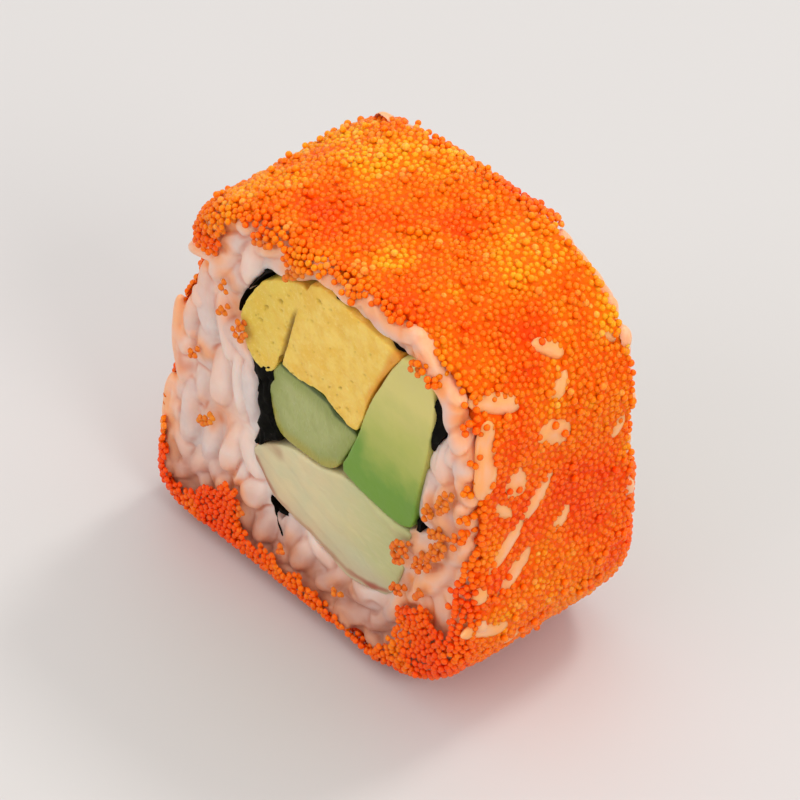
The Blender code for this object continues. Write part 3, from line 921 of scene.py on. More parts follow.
def coatProfile(place, across, lift):
    # a place on the coat: across runs from the middle of the roll's side to a rim, round it and on over the
    # cut face
    line, out = onOutline(place)
    turn = roe["roundRim"]
    side = np.sign(across)
    far = np.abs(across)
    flat = half - turn
    onRim = np.clip((far - flat) / turn, 0, math.pi / 2)
    onFace = np.maximum(far - flat - turn * math.pi / 2, 0)
    # the coat thins towards the cut faces
    reach = turn + lift * (1 - 0.4 * onRim / (math.pi / 2))
    drawnIn = turn - reach * np.cos(onRim) + onFace
    outer = line - out * drawnIn[:, None]
    along = side * (np.minimum(far, flat) + reach * np.sin(onRim))
    normal = np.stack([out[:, 0] * np.cos(onRim), side * np.sin(onRim), out[:, 1] * np.cos(onRim)], 1)
    return np.stack([outer[:, 0], along, outer[:, 1]], 1), normal, onRim, onFace


def covered(points, onRim, random):
    # whether roe lies at each place of the cut faces
    flat = points[:, [0, 2]] + 0.45 * mm * np.stack([
        softNoise(points, 1.3 * mm, 23), softNoise(points, 1.3 * mm, 24)
    ], 1) + 0.16 * mm * random.normal(0, 1, (len(points), 2))
    behind = points[:, 1] > 0
    wander = np.stack([softNoise(points, 7 * mm, 25), softNoise(points, 7 * mm, 26)], 1)
    flat = flat + np.where(behind[:, None], wander * 1.6 * mm, 0)
    found = (onRim <= 0.1) | ~inChunks(edgeLine, flat)
    found &= ~(onBareStrip(points, random.normal(0, 0.15 * mm, len(points))) & (onRim < 1.5))
    return found | ((islandShare(points) < 1) & ~behind)


def onBareStrip(points, shift):
    wavy = points[:, [2, 1]] + 0.35 * mm * softNoise(points, 1.2 * mm, 30)[:, None] + shift[:, None]
    return (points[:, 0] > middle.x + 8 * mm) & inChunks(stripLine, wavy)


def lumps(flat):
    return softNoise(flat, 4.5 * mm, 21) * 0.2 * mm + softNoise(flat, 1.7 * mm, 22) * 0.12 * mm


def scatterEggs(random, lift, spacing, tries, chance, taken=()):
    # eggs thrown at the coat one by one, kept where they touch no other
    place = random.uniform(0, len(coatLine), tries)
    reach = half + roe["overFaces"]
    across = random.uniform(-reach, reach, tries)
    line, _ = onOutline(place)
    flat = np.stack([line[:, 0], across, line[:, 1]], 1)
    uneven = random.uniform(-1, 1, tries) * roe["uneven"]
    places, normals, onRim, onFace = coatProfile(place, across, lift + lumps(flat) + uneven)
    wanted = covered(places, onRim, random) & (random.random(tries) < chance(flat))
    if chance is not onGrains:
        wanted &= overBareGrain(places, lift - 0.72 * mm) + 0.85 * softNoise(places, 0.75 * mm, 29) > 1
    wanted &= (onFace <= 0) | ~inChunks(mouthLine, places[:, [0, 2]]) | (islandShare(places) < 1)
    cells = {}

    def clear(place):
        home = [int(value // spacing) for value in place]
        for i in (home[0] - 1, home[0], home[0] + 1):
            for j in (home[1] - 1, home[1], home[1] + 1):
                for k in (home[2] - 1, home[2], home[2] + 1):
                    for other in cells.get((i, j, k), ()):
                        dx, dy, dz = place[0] - other[0], place[1] - other[1], place[2] - other[2]
                        if dx * dx + dy * dy + dz * dz < spacing * spacing:
                            return False
        cells.setdefault(tuple(home), []).append(place)
        return True

    for place in taken:
        cells.setdefault(tuple(int(value // spacing) for value in place), []).append(place)
    # the fillings lie a little deeper than the rice
    sunk = (onFace > 0) & inChunks(mouthLine, places[:, [0, 2]])
    places[:, 1] -= np.sign(places[:, 1]) * sunk * roe["sunk"]
    picked = [k for k in np.flatnonzero(wanted) if clear(places[k])]
    return places[picked], normals[picked]


def onGrains(flat):
    # most at their edges
    share = overBareGrain(flat, 0.2 * mm)
    return smoothStep(0.35, 0.95, share) * (share < 1.1) * 0.1 * (1 + softNoise(flat, 1.3 * mm, 32))


def islandShare(places):
    return np.min([ovalShare(places[:, 0], places[:, 2], spot, 0.0) for spot in roeIslands], axis=0)


def eggCap(lowest, fineness):
    # the outward part of a ball, without what faces the rice
    points, faces = ball(fineness)
    faces = faces[points[faces].mean(1)[:, 2] > lowest]
    used = np.unique(faces)
    return points[used], np.searchsorted(used, faces)


def eggMesh(name, places, normals, cap, seed):
    # ready-joined little balls, each with its own colour values and its own cell of the colour map
    random = np.random.default_rng(seed)
    shape, faces = eggCap(*cap)
    count = len(places)
    sizes = roe["egg"] * (1 + roe["sizeSpread"] * random.uniform(-1, 1, (count, 1)))
    sizes = sizes * (1 + 0.06 * random.uniform(-1, 1, (count, 3)))
    side = np.cross(normals, random.normal(size=(count, 3)))
    side /= np.linalg.norm(side, axis=1)[:, None]
    turns = np.stack([side, np.cross(normals, side), normals], 2)
    local = shape[None] * sizes[:, None]
    points = places[:, None] + np.einsum("nij,nkj->nki", turns, local)
    points[:, :, 2] = np.maximum(points[:, :, 2], 0.02 * mm)
    allFaces = faces[None] + np.arange(count)[:, None, None] * len(shape)
    mesh = meshFrom(name, points.reshape(-1, 3), allFaces.reshape(-1, 3))
    # each egg's height across its cap, which the roe finish paints yellower outwards: a painted glow
    store(mesh, "top", np.tile(shape[:, 2], count))
    store(mesh, "egg", np.repeat(random.random(count), len(shape)))
    store(mesh, "patch", np.repeat(warmth(places, normals), len(shape)))
    # eggs that lie on the cut have dried a little
    onCut = smoothStep(0.9, 1.0, -normals[:, 1]) * (islandShare(places) < 1.4)
    store(mesh, "dried", np.repeat(onCut, len(shape)))
    # the map: rows of cells, each egg's cap opened out flat in its own
    across = math.ceil(math.sqrt(count))
    number = np.arange(count)
    corner = np.stack([number % across, number // across], 1) / across
    angle = np.arccos(np.clip(shape[:, 2], -1, 1)) / math.radians(135)
    ring = shape[:, :2] / np.maximum(np.linalg.norm(shape[:, :2], axis=1), 1e-6)[:, None]
    flat = 0.5 + 0.46 * ring * angle[:, None]
    uv = corner[:, None, None] + flat[faces.ravel()][None, :, None].reshape(1, -1, 1, 2) / across
    mesh.uv_layers.new(name="OFBake").uv.foreach_set("vector", uv.astype(np.float32).ravel())
    return mesh


def warmth(places, normals):
    # 0 where the roe is deep orange red, 1 where it is yellow: it is yellower in patches, and painted light
    # makes it yellower where eggs face up and higher up the roll
    patches = 0.4 * softNoise(places, 6.0 * mm, 31) + 0.25 * softNoise(places, 1.8 * mm, 32)
    for x, y, z, radius, warmer in roe["patches"]:
        away = np.linalg.norm(places - np.array([x, y, z]) * mm, axis=1)
        patches += warmer * smoothStep(radius * mm, radius * 0.3 * mm, away)
    # painted light: yellower where the eggs face up and higher on the roll
    paintedTopLight = 0.14 * normals[:, 2] + 0.12 * smoothStep(4 * mm, 26 * mm, places[:, 2])
    return np.clip(0.36 + paintedTopLight + patches, 0, 1)


def roeColour(finish, patch):
    stops = ((0.0, roe["dark"]), (0.15, roe["deep"]), (0.65, roe["bright"]), (1.0, roe["yellow"]))
    return finish.node("ShaderNodeValToRGB", {"stops": stops}, {"Fac": patch})


def roeFinish():
    finish = Finish("roe")
    top, egg, patch, dried = (finish.attribute(name) for name in ("top", "egg", "patch", "dried"))
    # each egg is painted yellower on its outward cap: a painted glow
    body = roeColour(finish, patch * 0.8 + egg * 0.08 + top.between(-0.2, 1.1) * 0.1)
    # a few eggs in the warm patches carry a painted glint
    body = finish.mix(egg.between(0.86, 0.92) * patch.between(0.4, 0.75) * 0.3, body, roe["paintedGlint"])
    body = finish.mix(dried * 0.65, body, roe["brown"])
    return finish.surface({
        "Base Color": body,
        "Roughness": 0.24,
        "IOR": 1.6,
        "Specular Tint": (*roe["shine"], 1.0),
        "Subsurface Weight": 0.8,
        "Subsurface Radius": (1.0, 0.30, 0.05),
        "Subsurface Scale": 0.6 * mm,
    })


def bedFinish():
    finish = Finish("roeBed")
    patch = finish.attribute("patch")
    sockets = {"Vector": finish.place(), "Scale": 1 / (1.9 * roe["egg"])}
    cells = finish.node("ShaderNodeTexVoronoi", {"feature": "F1"}, sockets)
    # painted shade: deeper red where the bumps dip, between the cells
    body = finish.mix(cells.between(0.3, 0.75) * 0.3, roeColour(finish, patch * 0.8), roe["deep"])
    return finish.surface({
        "Base Color": body,
        "Roughness": 0.5,
        "IOR": 1.3,
        "Specular Tint": (*roe["shine"], 1.0),
        "Subsurface Weight": 0.5,
        "Subsurface Radius": (1.0, 0.30, 0.05),
        "Subsurface Scale": 0.7 * mm,
        "Normal": finish.bump(1 - cells, 0.2 * mm),
    })


def makeBed():
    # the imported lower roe: a bumpy sleeve that the loose eggs sit in
    columns, rows = len(coatLine), roe["bedRows"]
    number = np.repeat(np.arange(columns), rows)
    reach = half - roe["bedEnd"]
    share = np.tile(np.linspace(-1, 1, rows), columns)
    flat = np.stack([coatLine[number, 0], share * reach, coatLine[number, 1]], 1)
    places, normals, _, _ = coatProfile(number, share * reach, roe["bedLift"] + lumps(flat))
    bumps = softNoise(places, 0.6 * mm, 42) * 0.05 * mm
    sunk = smoothStep(1.1, 0.8, overBareGrain(places, 0.0)) * 0.35 * mm
    sunk += smoothStep(0.93, 1.0, np.abs(share)) * 0.4 * mm
    bare = inChunks(edgeLine, coatLine)[number] & (np.abs(share) * reach > half - 1.6 * mm)
    sunk += (bare | onBareStrip(places, np.full(len(places), -0.2 * mm))) * roe["bedDepth"]
    places = places + normals * (bumps - sunk)[:, None]
    places[:, 2] = np.maximum(places[:, 2], 0.15 * mm)
    below = np.full(columns * rows, -roe["bedDepth"])
    inner, _, _, _ = coatProfile(number, share * (reach - 0.2 * mm), below)
    grid = np.arange(columns * rows).reshape(columns, rows)
    faces = []
    for surface, flip in ((grid, False), (grid + grid.size, True)):
        after = np.roll(surface, -1, 0)
        quads = np.stack([surface[:, :-1], after[:, :-1], after[:, 1:], surface[:, 1:]], -1).reshape(-1, 4)
        faces.append(quads[:, ::-1] if flip else quads)
    for edge, flip in ((0, True), (rows - 1, False)):
        top, below = grid[:, edge], grid[:, edge] + grid.size
        quads = np.stack([top, np.roll(top, -1), np.roll(below, -1), below], 1)
        faces.append(quads[:, ::-1] if flip else quads)
    mesh = meshFrom("roeBed", np.vstack([places, inner]), np.vstack(faces))
    store(mesh, "patch", np.tile(warmth(places, normals) * 0.7, 2))
    finishPiece("roeBed", mesh, bedFinish(), "roe", "roe_coat")


def nearRims(flat):
    return np.abs(flat[:, 1]) > half - roe["roundRim"]


def clumps(flat):
    # loose eggs lie on top in clumps, and more of them high up
    clumped = smoothStep(-0.5, 0.3, softNoise(flat, 2.6 * mm, 27) + 0.6 * softNoise(flat, mm, 28))
    return clumped * (0.4 + 0.6 * smoothStep(28 * mm, 40 * mm, flat[:, 2])) * (flat[:, 2] > 3 * mm)


def makeRoe():
    makeBed()
    material = roeFinish()
    random = np.random.default_rng(7)
    chances = {
        "lower": lambda flat: np.ones(len(flat)),
        "rims": nearRims,
        "inner": nearRims,
        "upper": clumps,
        "stray": onGrains,
        "loose": lambda flat: clumps(flat) * 0.7,
    }
    eggs = np.zeros((0, 3))
    for layer, (lift, spacing, tries, lowest) in roe["layers"].items():
        places, normals = scatterEggs(random, lift, spacing, tries, chances[layer], eggs)
        places[:, 2] = np.maximum(places[:, 2], roe["egg"] * 0.9)
        eggs = np.vstack([eggs, places])
        print(layer, "roe:", len(places), "eggs")
        # the eggs that the roll stands on are plainer, and those at the rims show more of their sides
        under = normals[:, 2] < -0.8
        onRim = ~under & (np.abs(places[:, 1]) > half - 2.2 * mm) & (np.abs(normals[:, 1]) < 0.95)
        makeEggs(layer + "Roe", places, normals, ~under & ~onRim, (lowest, 2), material)
        makeEggs(layer + "RoeRim", places, normals, onRim, (-0.5, 2), material)
        makeEggs(layer + "RoeUnder", places, normals, under, (lowest, 1), material)
    return eggs


def makeEggs(name, places, normals, chosen, cap, material):
    # shared out by direction, so that each piece is one stretch of the coat
    chosen = np.flatnonzero(chosen)
    if not len(chosen):
        return
    turn = np.arctan2(places[chosen, 2] - middle.z, places[chosen, 0] - middle.x)
    pieces = math.ceil(len(chosen) * len(eggCap(*cap)[1]) / roe["mostTriangles"])
    for number, share in enumerate(np.array_split(chosen[np.argsort(turn)], pieces)):
        mesh = eggMesh(f"{name}{number + 1}", places[share], normals[share], cap, len(share))
        finishPiece(f"{name}{number + 1}", mesh, material, "roe", "roe_coat")


makeRice(makeRoe())


def prismOf(loop, near, far):
    # a closed loop in X and Z drawn out along the roll
    count = len(loop)
    points = np.array([(x, y, z) for y in (near, far) for x, z in loop])
    ring = np.arange(count)
    after = (ring + 1) % count
    sides = np.vstack([
        np.stack([ring, after, after + count], 1), np.stack([ring, after + count, ring + count], 1)
    ])
    caps = np.array(tessellate_polygon([[Vector((x, z, 0)) for x, z in loop]]))
    a, b, c = (loop[caps[:, k]] for k in range(3))
    left = ((b - a)[:, 0] * (c - a)[:, 1] - (b - a)[:, 1] * (c - a)[:, 0]) > 0
    caps = np.where(left[:, None], caps, caps[:, ::-1])
    return points, np.vstack([sides, caps, caps[:, ::-1] + count])


def fillingLoop(node, grow):
    loop = evenly(turnedLeft(sectionLoops(node)[0]), 0.3 * mm)
    return loop + outwards(loop) * grow


def fillingSkin(name, nodes, values):
    # the CAD solids' cut outlines, drawn out along the roll and skinned together
    loops = [fillingLoop(node, values["grow"]) for node in nodes]
    (_, near, _), (_, far, _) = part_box(nodes[0])
    shapes = [prismOf(loop, near, far) for loop in loops]
    return voxelSkin(name, *joined(shapes), values["voxel"], 2), loops, far


def faceward(points, end):
    # 1 on the two cut faces, 0 further in
    return smoothStep(end - 0.6 * mm, end - 0.15 * mm, np.abs(points[:, 1]))


def lineGap(points, line):
    # distance in X and Z to a line through several places, and how far along it, 0 to 1
    best, share = np.full(len(points), 9.0), np.zeros(len(points))
    places = points[:, [0, 2]]
    line = np.array(line) * mm
    for k in range(len(line) - 1):
        along = line[k + 1] - line[k]
        at = np.clip((places - line[k]) @ along / (along @ along), 0, 1)
        gap = np.linalg.norm(places - line[k] - at[:, None] * along, axis=1)
        share = np.where(gap < best, (k + at) / (len(line) - 1), share)
        best = np.minimum(best, gap)
    return best, share


omelette = {
    "grow": 0.2 * mm,
    "voxel": 0.18 * mm,
    # where the two strips meet
    "slit": ((-3.9, 27.4), (-3.7, 28.4), (-2.9, 31.4), (-1.9, 34.6), (-1.0, 37.0)),
    "brownEdge": ((12.4, 39.6), (10.1, 35.0), (8.2, 31.0), (7.0, 27.6)),
    # bubbles left open by the cut, in mm: across, height, width
    "pits": (
        (-5.5, 33.8, 0.75), (-3.4, 35.8, 0.8), (2.0, 39.2, 0.75), (-6.2, 31.9, 0.6), (4.5, 30.7, 0.5),
        (6.1, 32.5, 0.4), (-2.3, 37.2, 0.45), (0.9, 36.3, 0.35), (3.1, 34.0, 0.3), (8.7, 37.4, 0.4),
        (5.4, 28.9, 0.4), (-4.6, 30.2, 0.4), (6.6, 36.2, 0.3), (-0.6, 30.1, 0.3), (1.2, 32.9, 0.25),
    ),
    "smallPits": 110,
    "yellow": (0.84, 0.51, 0.068),
    "pale": (0.90, 0.62, 0.13),
    "brown": (0.78, 0.30, 0.025),
    "greenish": (0.66, 0.50, 0.045),
    "grainDark": (0.70, 0.40, 0.04),
    "grainLight": (0.95, 0.74, 0.24),
    "pitShade": (0.42, 0.26, 0.02),
    "slitShade": (0.22, 0.11, 0.006),
    "ior": 1.38,
    "glow": (0.3, (1.0, 0.6, 0.2), 1.0 * mm),
}


def pitted(points, end, loops):
    # how deep each point lies in a bubble
    random = np.random.default_rng(60)
    low, high = np.vstack(loops).min(0), np.vstack(loops).max(0)
    depth = np.zeros(len(points))
    for side in (-1, 1):
        drawn = 1 if side < 0 else 0.9
        spots = [(x * mm * drawn, z * mm, wide * mm / 2) for x, z, wide in omelette["pits"]]
        for _ in range(omelette["smallPits"]):
            spots.append((*random.uniform(low, high), random.uniform(0.08, 0.2) * mm))
        for x, z, wide in spots:
            flatness, lean = random.uniform(0.55, 0.9), random.uniform(-0.5, 0.5)
            across, up = points[:, 0] - x, points[:, 2] - z
            away = np.hypot(across, (up - lean * across) / flatness) + (points[:, 1] * side < 0)
            depth = np.maximum(depth, smoothStep(wide * 1.1, wide * 0.3, away) * min(wide * 0.9, 0.25 * mm))
    return depth * faceward(points, end)


def makeOmelette():
    mesh, loops, end = fillingSkin("omelette", ("omelette_strip", "omelette_end"), omelette)
    points = pointsOf(mesh)
    pits = pitted(points, end, loops)
    gap, share = lineGap(points, omelette["slit"])
    slit = smoothStep(0.34 * mm, 0.05 * mm, gap + 0.05 * mm * softNoise(points, 0.6 * mm, 64))
    nearCut = smoothStep(end - 1.2 * mm, end - 0.3 * mm, np.abs(points[:, 1]))
    slit = slit * smoothStep(1.0, 0.66, share) * nearCut
    uneven = softNoise(points, 2.6 * mm, 61) * 0.11 * mm + softNoise(points, 0.7 * mm, 62) * 0.05 * mm
    points = swell(mesh, uneven - pits - slit * 0.45 * mm)
    # the bubbles are painted darker the deeper they are: painted shade
    store(mesh, "pit", np.clip(pits / (0.22 * mm), 0, 1))
    # the slit is painted dark: painted shade in the groove
    store(mesh, "slit", slit)
    # the side that lay in the pan
    gap, share = lineGap(points, omelette["brownEdge"])
    ragged = gap + 0.2 * mm * softNoise(points, 1.1 * mm, 63)
    store(mesh, "browned", smoothStep(0.9 * mm, 0.25 * mm, ragged) * smoothStep(1.05, 0.35, share))
    store(mesh, "left", smoothStep(2 * mm, -8 * mm, points[:, 0] - 0.4 * (points[:, 2] - 34 * mm)))
    finishPiece("omelette", mesh, omeletteFinish(), "omelette", "omelette_strip", "omelette_end")


def omeletteFinish():
    finish = Finish("omelette")
    pit, browned, slit, left = (finish.attribute(name) for name in ("pit", "browned", "slit", "left"))
    cloudy = finish.noise(1.5 * mm, 3.0)
    grain = finish.noise(0.35 * mm, 3.0, 0.6)
    body = finish.mix(cloudy.between(0.3, 0.7), omelette["yellow"], omelette["pale"])
    body = finish.mix(left * (0.3 + 0.5 * cloudy), body, omelette["greenish"])
    body = finish.mix(grain.between(0.55, 0.75) * 0.3, body, omelette["grainDark"])
    body = finish.mix(grain.between(0.45, 0.3) * 0.35, body, omelette["grainLight"])
    # painted shade in the bubbles
    body = finish.mix(pit * 0.7, body, omelette["pitShade"])
    body = finish.mix(browned * 0.85, body, omelette["brown"])
    # painted shade in the slit
    body = finish.mix(slit * 0.85, body, omelette["slitShade"])
    return finish.food(body, 0.4 + 0.2 * grain, finish.bump(grain, 0.08 * mm), omelette)


makeOmelette()


cucumber = {
    "grow": 0.12 * mm,
    "voxel": 0.18 * mm,
    "rindLine": ((-4.4, 28.3), (2.6, 27.8), (3.6, 26.9), (6.6, 26.5)),
    "seedLine": ((-5.6, 21.9), (-4.6, 19.6), (1.4, 19.0), (3.6, 20.4)),
    "flesh": (0.29, 0.33, 0.085),
    "pale": (0.42, 0.45, 0.17),
    "green": (0.040, 0.070, 0.010),
    "seedSide": (0.40, 0.33, 0.05),
    "streak": (0.25, 0.28, 0.065),
    "underRind": (0.22, 0.27, 0.06),
    "ior": 1.36,
    "glow": (0.4, (0.6, 0.8, 0.3), 1.5 * mm),
}


def makeCucumber():
    mesh, loops, _ = fillingSkin("cucumber", ("cucumber",), cucumber)
    points = pointsOf(mesh)
    edge = gapAcross(loops[0], points)
    # the middle of the cut is clearest
    store(mesh, "heart", smoothStep(0.3 * mm, 2.6 * mm, edge + 0.5 * mm * softNoise(points, 2.0 * mm, 74)))
    gap, _ = lineGap(points, cucumber["rindLine"])
    ragged = gap + 0.1 * mm * softNoise(points, 1.0 * mm, 71)
    store(mesh, "rind", smoothStep(0.7 * mm, 0.3 * mm, ragged))
    store(mesh, "under", smoothStep(2.2 * mm, 0.6 * mm, ragged))
    gap, _ = lineGap(points, cucumber["seedLine"])
    store(mesh, "seeds", smoothStep(1.5 * mm, 0.3 * mm, gap + 0.25 * mm * softNoise(points, 1.6 * mm, 73)))
    swell(mesh, softNoise(points, 2.4 * mm, 72) * 0.09 * mm)
    finishPiece("cucumber", mesh, cucumberFinish(), "cucumber", "cucumber")


def cucumberFinish():
    finish = Finish("cucumber")
    rind, under, seeds, heart = (finish.attribute(name) for name in ("rind", "under", "seeds", "heart"))
    cloudy = finish.noise(2.2 * mm, 2.0)
    streaks = finish.noise(0.9 * mm, 2.0, stretch=(1.0, 0.3, 0.45))
    body = finish.mix(heart * (0.45 + 0.6 * cloudy), cucumber["flesh"], cucumber["pale"])
    body = finish.mix(streaks.between(0.5, 0.7) * 0.3, body, cucumber["streak"])
    body = finish.mix(seeds * 0.7, body, cucumber["seedSide"])
    body = finish.mix(under * 0.35, body, cucumber["underRind"])
    body = finish.mix(rind * 0.9, body, cucumber["green"])
    return finish.food(body, 0.2 + 0.15 * streaks, finish.bump(streaks, 0.02 * mm), cucumber)


makeCucumber()


avocado = {
    "grow": 0.14 * mm,
    "voxel": 0.2 * mm,
    "butter": (0.66, 0.58, 0.185),
    "green": (0.40, 0.45, 0.085),
    "deep": (0.155, 0.31, 0.03),
    "peeledLine": ((7.2, 27.4), (4.7, 21.0), (11.6, 19.4), (14.0, 20.3)),
    "ior": 1.38,
    "glow": (0.3, (0.7, 0.9, 0.3), 1.2 * mm),
}


def makeAvocado():
    mesh, loops, _ = fillingSkin("avocado", ("avocado",), avocado)
    points = pointsOf(mesh)
    low, high = loops[0].min(0), loops[0].max(0)
    ripe = (points[:, 2] - low[1]) / (high[1] - low[1])
    across = (points[:, 0] - low[0]) / (high[0] - low[0])
    # the flesh is greenest beside the skin that was peeled off: its lower left edge
    edge, _ = lineGap(points, avocado["peeledLine"])
    streak = 0.05 * softNoise(points * (1, 0.2, 1), 1.6 * mm, 81)
    peeled = 0.10 * smoothStep(1.6 * mm, 0.2 * mm, edge)
    store(mesh, "ripe", ripe + 0.10 * across * (1 - ripe) - peeled + streak)
    swell(mesh, softNoise(points, 2.6 * mm, 82) * 0.1 * mm)
    finishPiece("avocado", mesh, avocadoFinish(), "avocado", "avocado")


def avocadoFinish():
    finish = Finish("avocado")
    ripe = finish.attribute("ripe")
    fine = finish.noise(0.8 * mm, 3.0)
    deep, green, butter = (avocado[name] for name in ("deep", "green", "butter"))
    stops = ((0.0, deep), (0.2, deep), (0.42, green), (0.8, butter))
    body = finish.node("ShaderNodeValToRGB", {"stops": stops}, {"Fac": ripe + (fine - 0.5) * 0.1})
    return finish.food(body, 0.3 + 0.16 * fine, finish.bump(fine, 0.03 * mm), avocado)


makeAvocado()


crab = {
    "grow": 0.14 * mm,
    "voxel": 0.2 * mm,
    "redLine": ((-7.6, 14.2), (-6.2, 12.5), (-4.6, 11.2), (-3.0, 10.7), (0.0, 10.1), (2.5, 9.4), (5.0, 8.9),
                (8.0, 9.2), (10.6, 10.2)),
    "cream": (0.70, 0.585, 0.338),
    "pale": (0.62, 0.57, 0.34),
    "green": (0.46, 0.49, 0.19),
    "clear": (0.52, 0.51, 0.34),
    "edge": (0.42, 0.24, 0.13),
    "red": (0.34, 0.035, 0.015),
    "fibre": (0.76, 0.66, 0.40),
    "blush": (0.52, 0.30, 0.20),
    "brownLine": ((-8.6, 16.4), (-6.8, 17.2), (-4.4, 17.0)),
    "ior": 1.38,
    "glow": (0.4, (1.0, 0.8, 0.6), 1.3 * mm),
}


def makeCrabStick():
    mesh, loops, end = fillingSkin("crabStick", ("crab_stick",), crab)
    points = pointsOf(mesh)
    # the coloured skin runs along the lower side
    gap, _ = lineGap(points, crab["redLine"])
    ragged = gap + 0.14 * mm * softNoise(points, 0.8 * mm, 91)
    patchy = 0.65 + 0.6 * softNoise(points, 2.2 * mm, 94)
    store(mesh, "skin", np.clip(smoothStep(0.5 * mm, 0.08 * mm, ragged) * patchy, 0, 1))
    store(mesh, "blush", smoothStep(3.0 * mm, 0.3 * mm, ragged))
    low, high = loops[0].min(0), loops[0].max(0)
    across = (points[:, 0] - low[0]) / (high[0] - low[0])
    store(mesh, "right", across)
    under = points[:, 2] - (low[1] + (1 - across) * 0.55 * (high[1] - low[1]))
    store(mesh, "low", smoothStep(0.3, 0.75, across) * smoothStep(3.2 * mm, 0.5 * mm, under))
    # its upper left end is a little brown
    gap, _ = lineGap(points, crab["brownLine"])
    store(mesh, "edge", smoothStep(1.3 * mm, 0.1 * mm, gap + 0.2 * mm * softNoise(points, 0.9 * mm, 95)))
    # flakes show as faint steps across the cut
    wavy = 0.5 * mm * softNoise(points * (1, 0, 1), 3 * mm, 92)
    lean = (points[:, [0, 2]] @ np.array([0.38, 0.92]) + wavy) / mm
    step = smoothStep(0.9, 1.0, np.abs(np.sin(lean * 1.3))) * faceward(points, end)
    swell(mesh, softNoise(points, 2.4 * mm, 93) * 0.1 * mm - step * 0.04 * mm)
    finishPiece("crabStick", mesh, crabFinish(), "crab_stick", "crab_stick")


def crabFinish():
    finish = Finish("crabStick")
    names = ("skin", "blush", "right", "low", "edge")
    skin, blush, right, low, edge = (finish.attribute(name) for name in names)
    cloudy = finish.noise(3.0 * mm, 2.0)
    fibres = finish.noise(0.6 * mm, 3.0, stretch=(0.5, 0.2, 1.4))
    body = finish.mix(cloudy.between(0.35, 0.7), crab["cream"], crab["pale"])
    body = finish.mix(right.between(0.3, 1.0) * 0.75, body, crab["green"])
    body = finish.mix(low * 0.7, body, crab["clear"])
    body = finish.mix(edge * 0.6, body, crab["edge"])
    body = finish.mix(fibres.between(0.45, 0.75) * 0.18, body, crab["fibre"])
    body = finish.mix(blush * 0.3, body, crab["blush"])
    body = finish.mix(skin * 0.85, body, crab["red"])
    return finish.food(body, 0.34 + 0.2 * fibres, finish.bump(fibres, 0.03 * mm), crab)


makeCrabStick()


nori = {
    "step": 0.35 * mm,
    "rows": 34,
    # where the sheet is doubled or creased, in mm: across, height, reach, extra thickness
    "swells": (
        (17.2, 35.0, 3.2, 0.75), (4.2, 41.2, 2.0, 0.35), (11.6, 40.0, 2.2, 0.3), (-7.6, 35.5, 2.5, 0.25),
    ),
    # the crumpled sheet between the left side and the cucumber, in mm
    "fold": (
        (-8.5, 27.5), (-7.8, 27.1), (-6.6, 26.2), (-5.0, 27.2), (-4.6, 26.0), (-5.2, 24.4), (-5.3, 22.6),
        (-5.1, 20.6), (-4.0, 19.2), (-4.2, 18.4), (-6.0, 17.4), (-7.2, 15.8), (-7.8, 16.2), (-7.2, 18.0),
        (-6.9, 20.5), (-7.0, 23.4), (-7.8, 25.7),
    ),
    "black": (0.0025, 0.002, 0.0015),
    "green": (0.007, 0.007, 0.004),
}


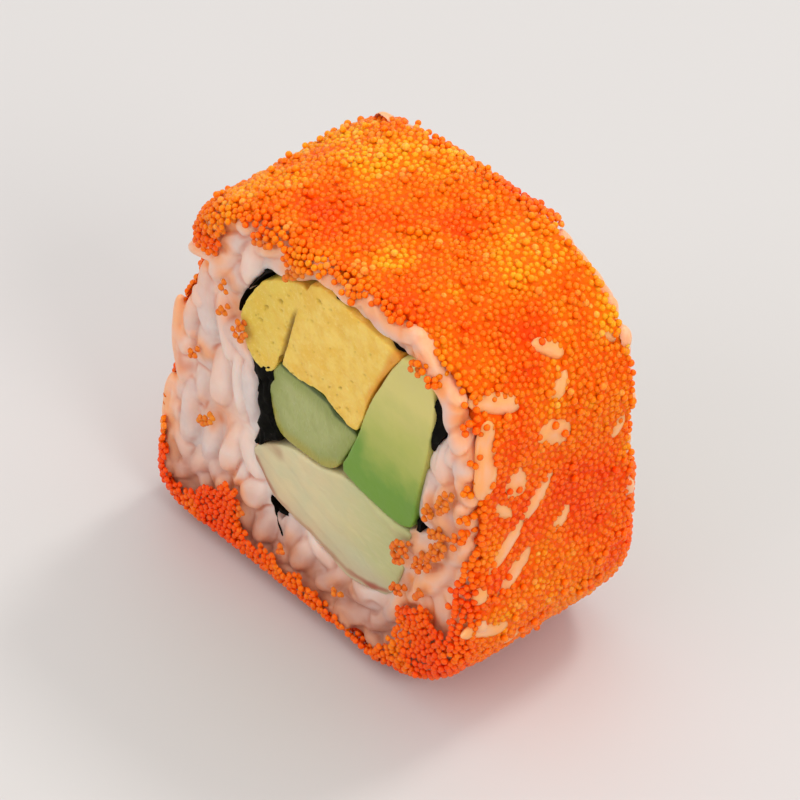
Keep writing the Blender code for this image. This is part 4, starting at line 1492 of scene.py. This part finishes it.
def makeNori():
    loop = evenly(turnedLeft(sectionLoops("nori")[0]), nori["step"])
    for x, z, reach, extra in nori["swells"]:
        away = np.linalg.norm(loop - np.array([x, z]) * mm, axis=1)
        loop = loop + outwards(loop) * (smoothStep(reach * mm, 0, away) * extra * mm)[:, None]
    low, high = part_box("nori")
    count, rows = len(loop), nori["rows"]
    along = np.linspace(low[1], high[1], rows)
    grid = np.array([(x, y, z) for y in along for x, z in loop])
    # the cut edges are ragged, and the sheet is slightly crinkled
    end = smoothStep(0.6, 1.0, np.abs(np.repeat(np.linspace(-1, 1, rows), count)))
    ragged = softNoise(grid * (1, 0, 1), 1.3 * mm, 101) * 0.3 * mm + 0.15 * mm
    beyond = smoothStep(0, 0.45 * mm, gapAcross(mouthLine, grid))
    hidden = beyond * ~inChunks(mouthLine, grid[:, [0, 2]])
    grid[:, 1] += np.sign(grid[:, 1]) * end * (ragged - 0.9 * mm * hidden)
    grid[:, 0] += softNoise(grid, 1.6 * mm, 102) * 0.1 * mm
    grid[:, 2] += softNoise(grid, 1.6 * mm, 103) * 0.1 * mm
    ring = np.arange(count)
    after = (ring + 1) % count
    faces = []
    for row in range(rows - 1):
        a, b = ring + row * count, after + row * count
        faces += [np.stack([a, b, b + count], 1), np.stack([a, b + count, a + count], 1)]
    _, ends = prismOf(loop, 0.0, 1.0)
    caps = ends[2 * count:]
    first = len(caps) // 2
    faces += [caps[:first], caps[first:] + (rows - 2) * count]
    finish = noriFinish()
    finishPiece("nori", meshFrom("nori", grid, np.vstack(faces)), finish, "nori", "nori")
    fold = evenly(turnedLeft(np.array(nori["fold"]) * mm), 0.3 * mm)
    mesh = voxelSkin("noriFold", *prismOf(fold, 0.1 * mm - half, half - 0.1 * mm), 0.25 * mm, 1)
    points = pointsOf(mesh)
    pleats = np.abs(softNoise(points * (1, 0.15, 0.7), 0.8 * mm, 104))
    swell(mesh, -(pleats * 0.7 * mm * faceward(points, half - 0.1 * mm)))
    finishPiece("noriFold", mesh, finish, "nori", "nori")


def noriFinish():
    finish = Finish("nori")
    fibre = finish.noise(0.5 * mm, 4.0, 0.65)
    body = finish.mix(fibre.between(0.4, 0.7), nori["black"], nori["green"])
    return finish.surface({
        "Base Color": body,
        "Roughness": 0.5 + 0.3 * fibre,
        "IOR": 1.15,
        "Normal": finish.bump(fibre, 0.06 * mm),
    })


makeNori()


def makeFloor():
    side = studio["floorSide"] / 2
    corners = [(-side, -side, 0), (side, -side, 0), (side, side, 0), (-side, side, 0)]
    finish = Finish("floor")
    mottled = finish.noise(0.06, 3.0)
    colour = finish.mix(mottled, studio["floorColour"], [c * 0.985 for c in studio["floorColour"]])
    mesh = meshFrom("floor", corners, [(0, 1, 2, 3)])
    mesh.materials.append(finish.surface({"Base Color": colour, "Roughness": 0.5}))
    addObject("floor", mesh)


makeFloor()
